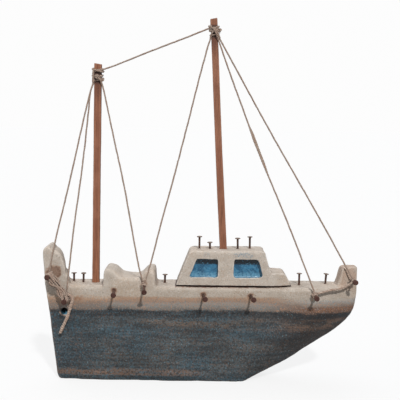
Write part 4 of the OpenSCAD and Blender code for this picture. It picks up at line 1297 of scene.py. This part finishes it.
# the bundle of strands between the stern post's nail and the quarter nail
pile = Pile()
for k, (a0, a1, b0, b1) in enumerate(((2.0, 1.3, -0.4, 0.9), (0.9, 2.1, 1.7, 0.6), (0.3, -0.5, 1.0, 1.9),
                                      (1.5, 0.4, 2.2, 1.4), (-0.4, 1.1, 0.2, -0.6),
                                      (1.2, 1.7, 1.3, 0.1))):
    c1, c2 = nail_at("sternpost_nail", 5.9 + 1.25 * k), nail_at("quarter_nail", 8.6 + 1.15 * k)
    e = unit(c2 - c1)
    nn = unit(np.cross(e, [0, 1, 0]))
    r = SHANK + STAY / 2 + 0.15
    sag = np.array([0.0, 1.6, 0.0])  # the strands lie in towards the clay
    ring = [c2 + r * (math.cos(math.radians(a)) * e + math.sin(math.radians(a)) * nn)
            for a in range(-90, 91, 30)]
    ring.append(c2 + (c1 - c2) * 0.28 + a1 * r * nn + sag * 0.8 + [0, 0.4 * (k - 2.5), 0])
    ring.append(c2 + (c1 - c2) * 0.5 + 0.5 * (a0 + b0) * r * nn + sag)
    ring.append(c2 + (c1 - c2) * 0.75 + a0 * r * nn + sag * 0.6 - [0, 0.4 * (k - 2.5), 0])
    ring += [c1 + r * (math.cos(math.radians(a)) * e + math.sin(math.radians(a)) * nn)
             for a in range(90, 271, 30)]
    ring.append(c1 + (c2 - c1) * 0.28 - b0 * r * nn + sag * 0.6 - [0, 0.3 * (k - 2.5), 0])
    ring.append(c1 + (c2 - c1) * 0.5 + 0.4 * (a1 - b1) * r * nn + sag)
    ring.append(c1 + (c2 - c1) * 0.74 - b1 * r * nn + sag * 0.8 + [0, 0.3 * (k - 2.5), 0])
    p = twist(pile, ring, STAY, step=0.45, seed=600 + k, closed=True, wobble=0.35, full=1.3)
    fuzz(pile, p, STAY, 24, 640 + k, 3.0)
c2 = nail_at("quarter_nail", 7.4)  # a loose turn that stands out beside the nail
ring = [c2 + np.array([1.7 + 2.7 * math.cos(a), -0.9 * math.sin(a), 1.0 + 2.9 * math.sin(a)])
        for a in np.radians(range(0, 360, 30))]
p = twist(pile, ring, 1.8, step=0.4, seed=660, closed=True, wobble=0.2)
fuzz(pile, p, 1.4, 16, 661, 2.6)
piece = pile.make("stern_lashing_twine", MAT_TWINE, "boat", "hemp_twine", with_uv=True)
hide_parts("stern_lashing")

# ---------------------------------------------------------------- floor and light
floor = plain_object("floor", [(-30, -30, 0), (30, -30, 0), (30, 30, 0), (-30, 30, 0)], [(0, 1, 2, 3)])
fm = bpy.data.materials.new("floor")
fm.use_nodes = True
ft = fm.node_tree
ft.nodes.clear()
seen = ft.nodes.new("ShaderNodeBsdfDiffuse")
seen.inputs[0].default_value = (0.74, 0.74, 0.74, 1)
glow = ft.nodes.new("ShaderNodeEmission")  # the white of the studio, evenly lit
glow.inputs[0].default_value = (0.98, 0.98, 0.98, 1)
pale = ft.nodes.new("ShaderNodeMixShader")
pale.inputs[0].default_value = 0.82
ft.links.new(seen.outputs[0], pale.inputs[1])
ft.links.new(glow.outputs[0], pale.inputs[2])
bounce = ft.nodes.new("ShaderNodeBsdfDiffuse")  # a matt table gives back less light
bounce.inputs[0].default_value = (0.38, 0.38, 0.38, 1)
paths = ft.nodes.new("ShaderNodeLightPath")
pick = ft.nodes.new("ShaderNodeMixShader")
ft.links.new(paths.outputs["Is Camera Ray"], pick.inputs[0])
ft.links.new(bounce.outputs[0], pick.inputs[1])
ft.links.new(pale.outputs[0], pick.inputs[2])
ft.links.new(pick.outputs[0], ft.nodes.new("ShaderNodeOutputMaterial").inputs[0])
floor.data.materials.append(fm)

world = bpy.data.worlds.new("studio")
world.use_nodes = True
wt = world.node_tree
wt.nodes["Background"].inputs[0].default_value = (1.0, 1.0, 1.0, 1)
wt.nodes["Background"].inputs[1].default_value = 0.25
white = wt.nodes.new("ShaderNodeBackground")  # the white wall of the studio
white.inputs[0].default_value = (0.98, 0.98, 0.98, 1)
white.inputs[1].default_value = 1.0
rays = wt.nodes.new("ShaderNodeLightPath")
both = wt.nodes.new("ShaderNodeMixShader")
wt.links.new(rays.outputs["Is Camera Ray"], both.inputs[0])
wt.links.new(wt.nodes["Background"].outputs[0], both.inputs[1])
wt.links.new(white.outputs[0], both.inputs[2])
wt.links.new(both.outputs[0], wt.nodes["World Output"].inputs[0])
scene.world = world


def sun(name, towards, strength, spread, colour=(1, 1, 1)):
    data = bpy.data.lights.new(name, "SUN")
    data.energy = strength
    data.angle = math.radians(spread)
    data.color = colour
    obj = bpy.data.objects.new(name, data)
    scene.collection.objects.link(obj)
    obj.rotation_euler = Vector(towards).to_track_quat("Z", "Y").to_euler()
    return obj


sun("key", (0.30, -1.0, 0.93), 2.75, 4.0)
sun("top", (-0.3, 0.6, 1.0), 1.5, 60, (0.97, 1.0, 1.06))
sun("side", (-1.0, -0.2, 0.35), 0.9, 60)
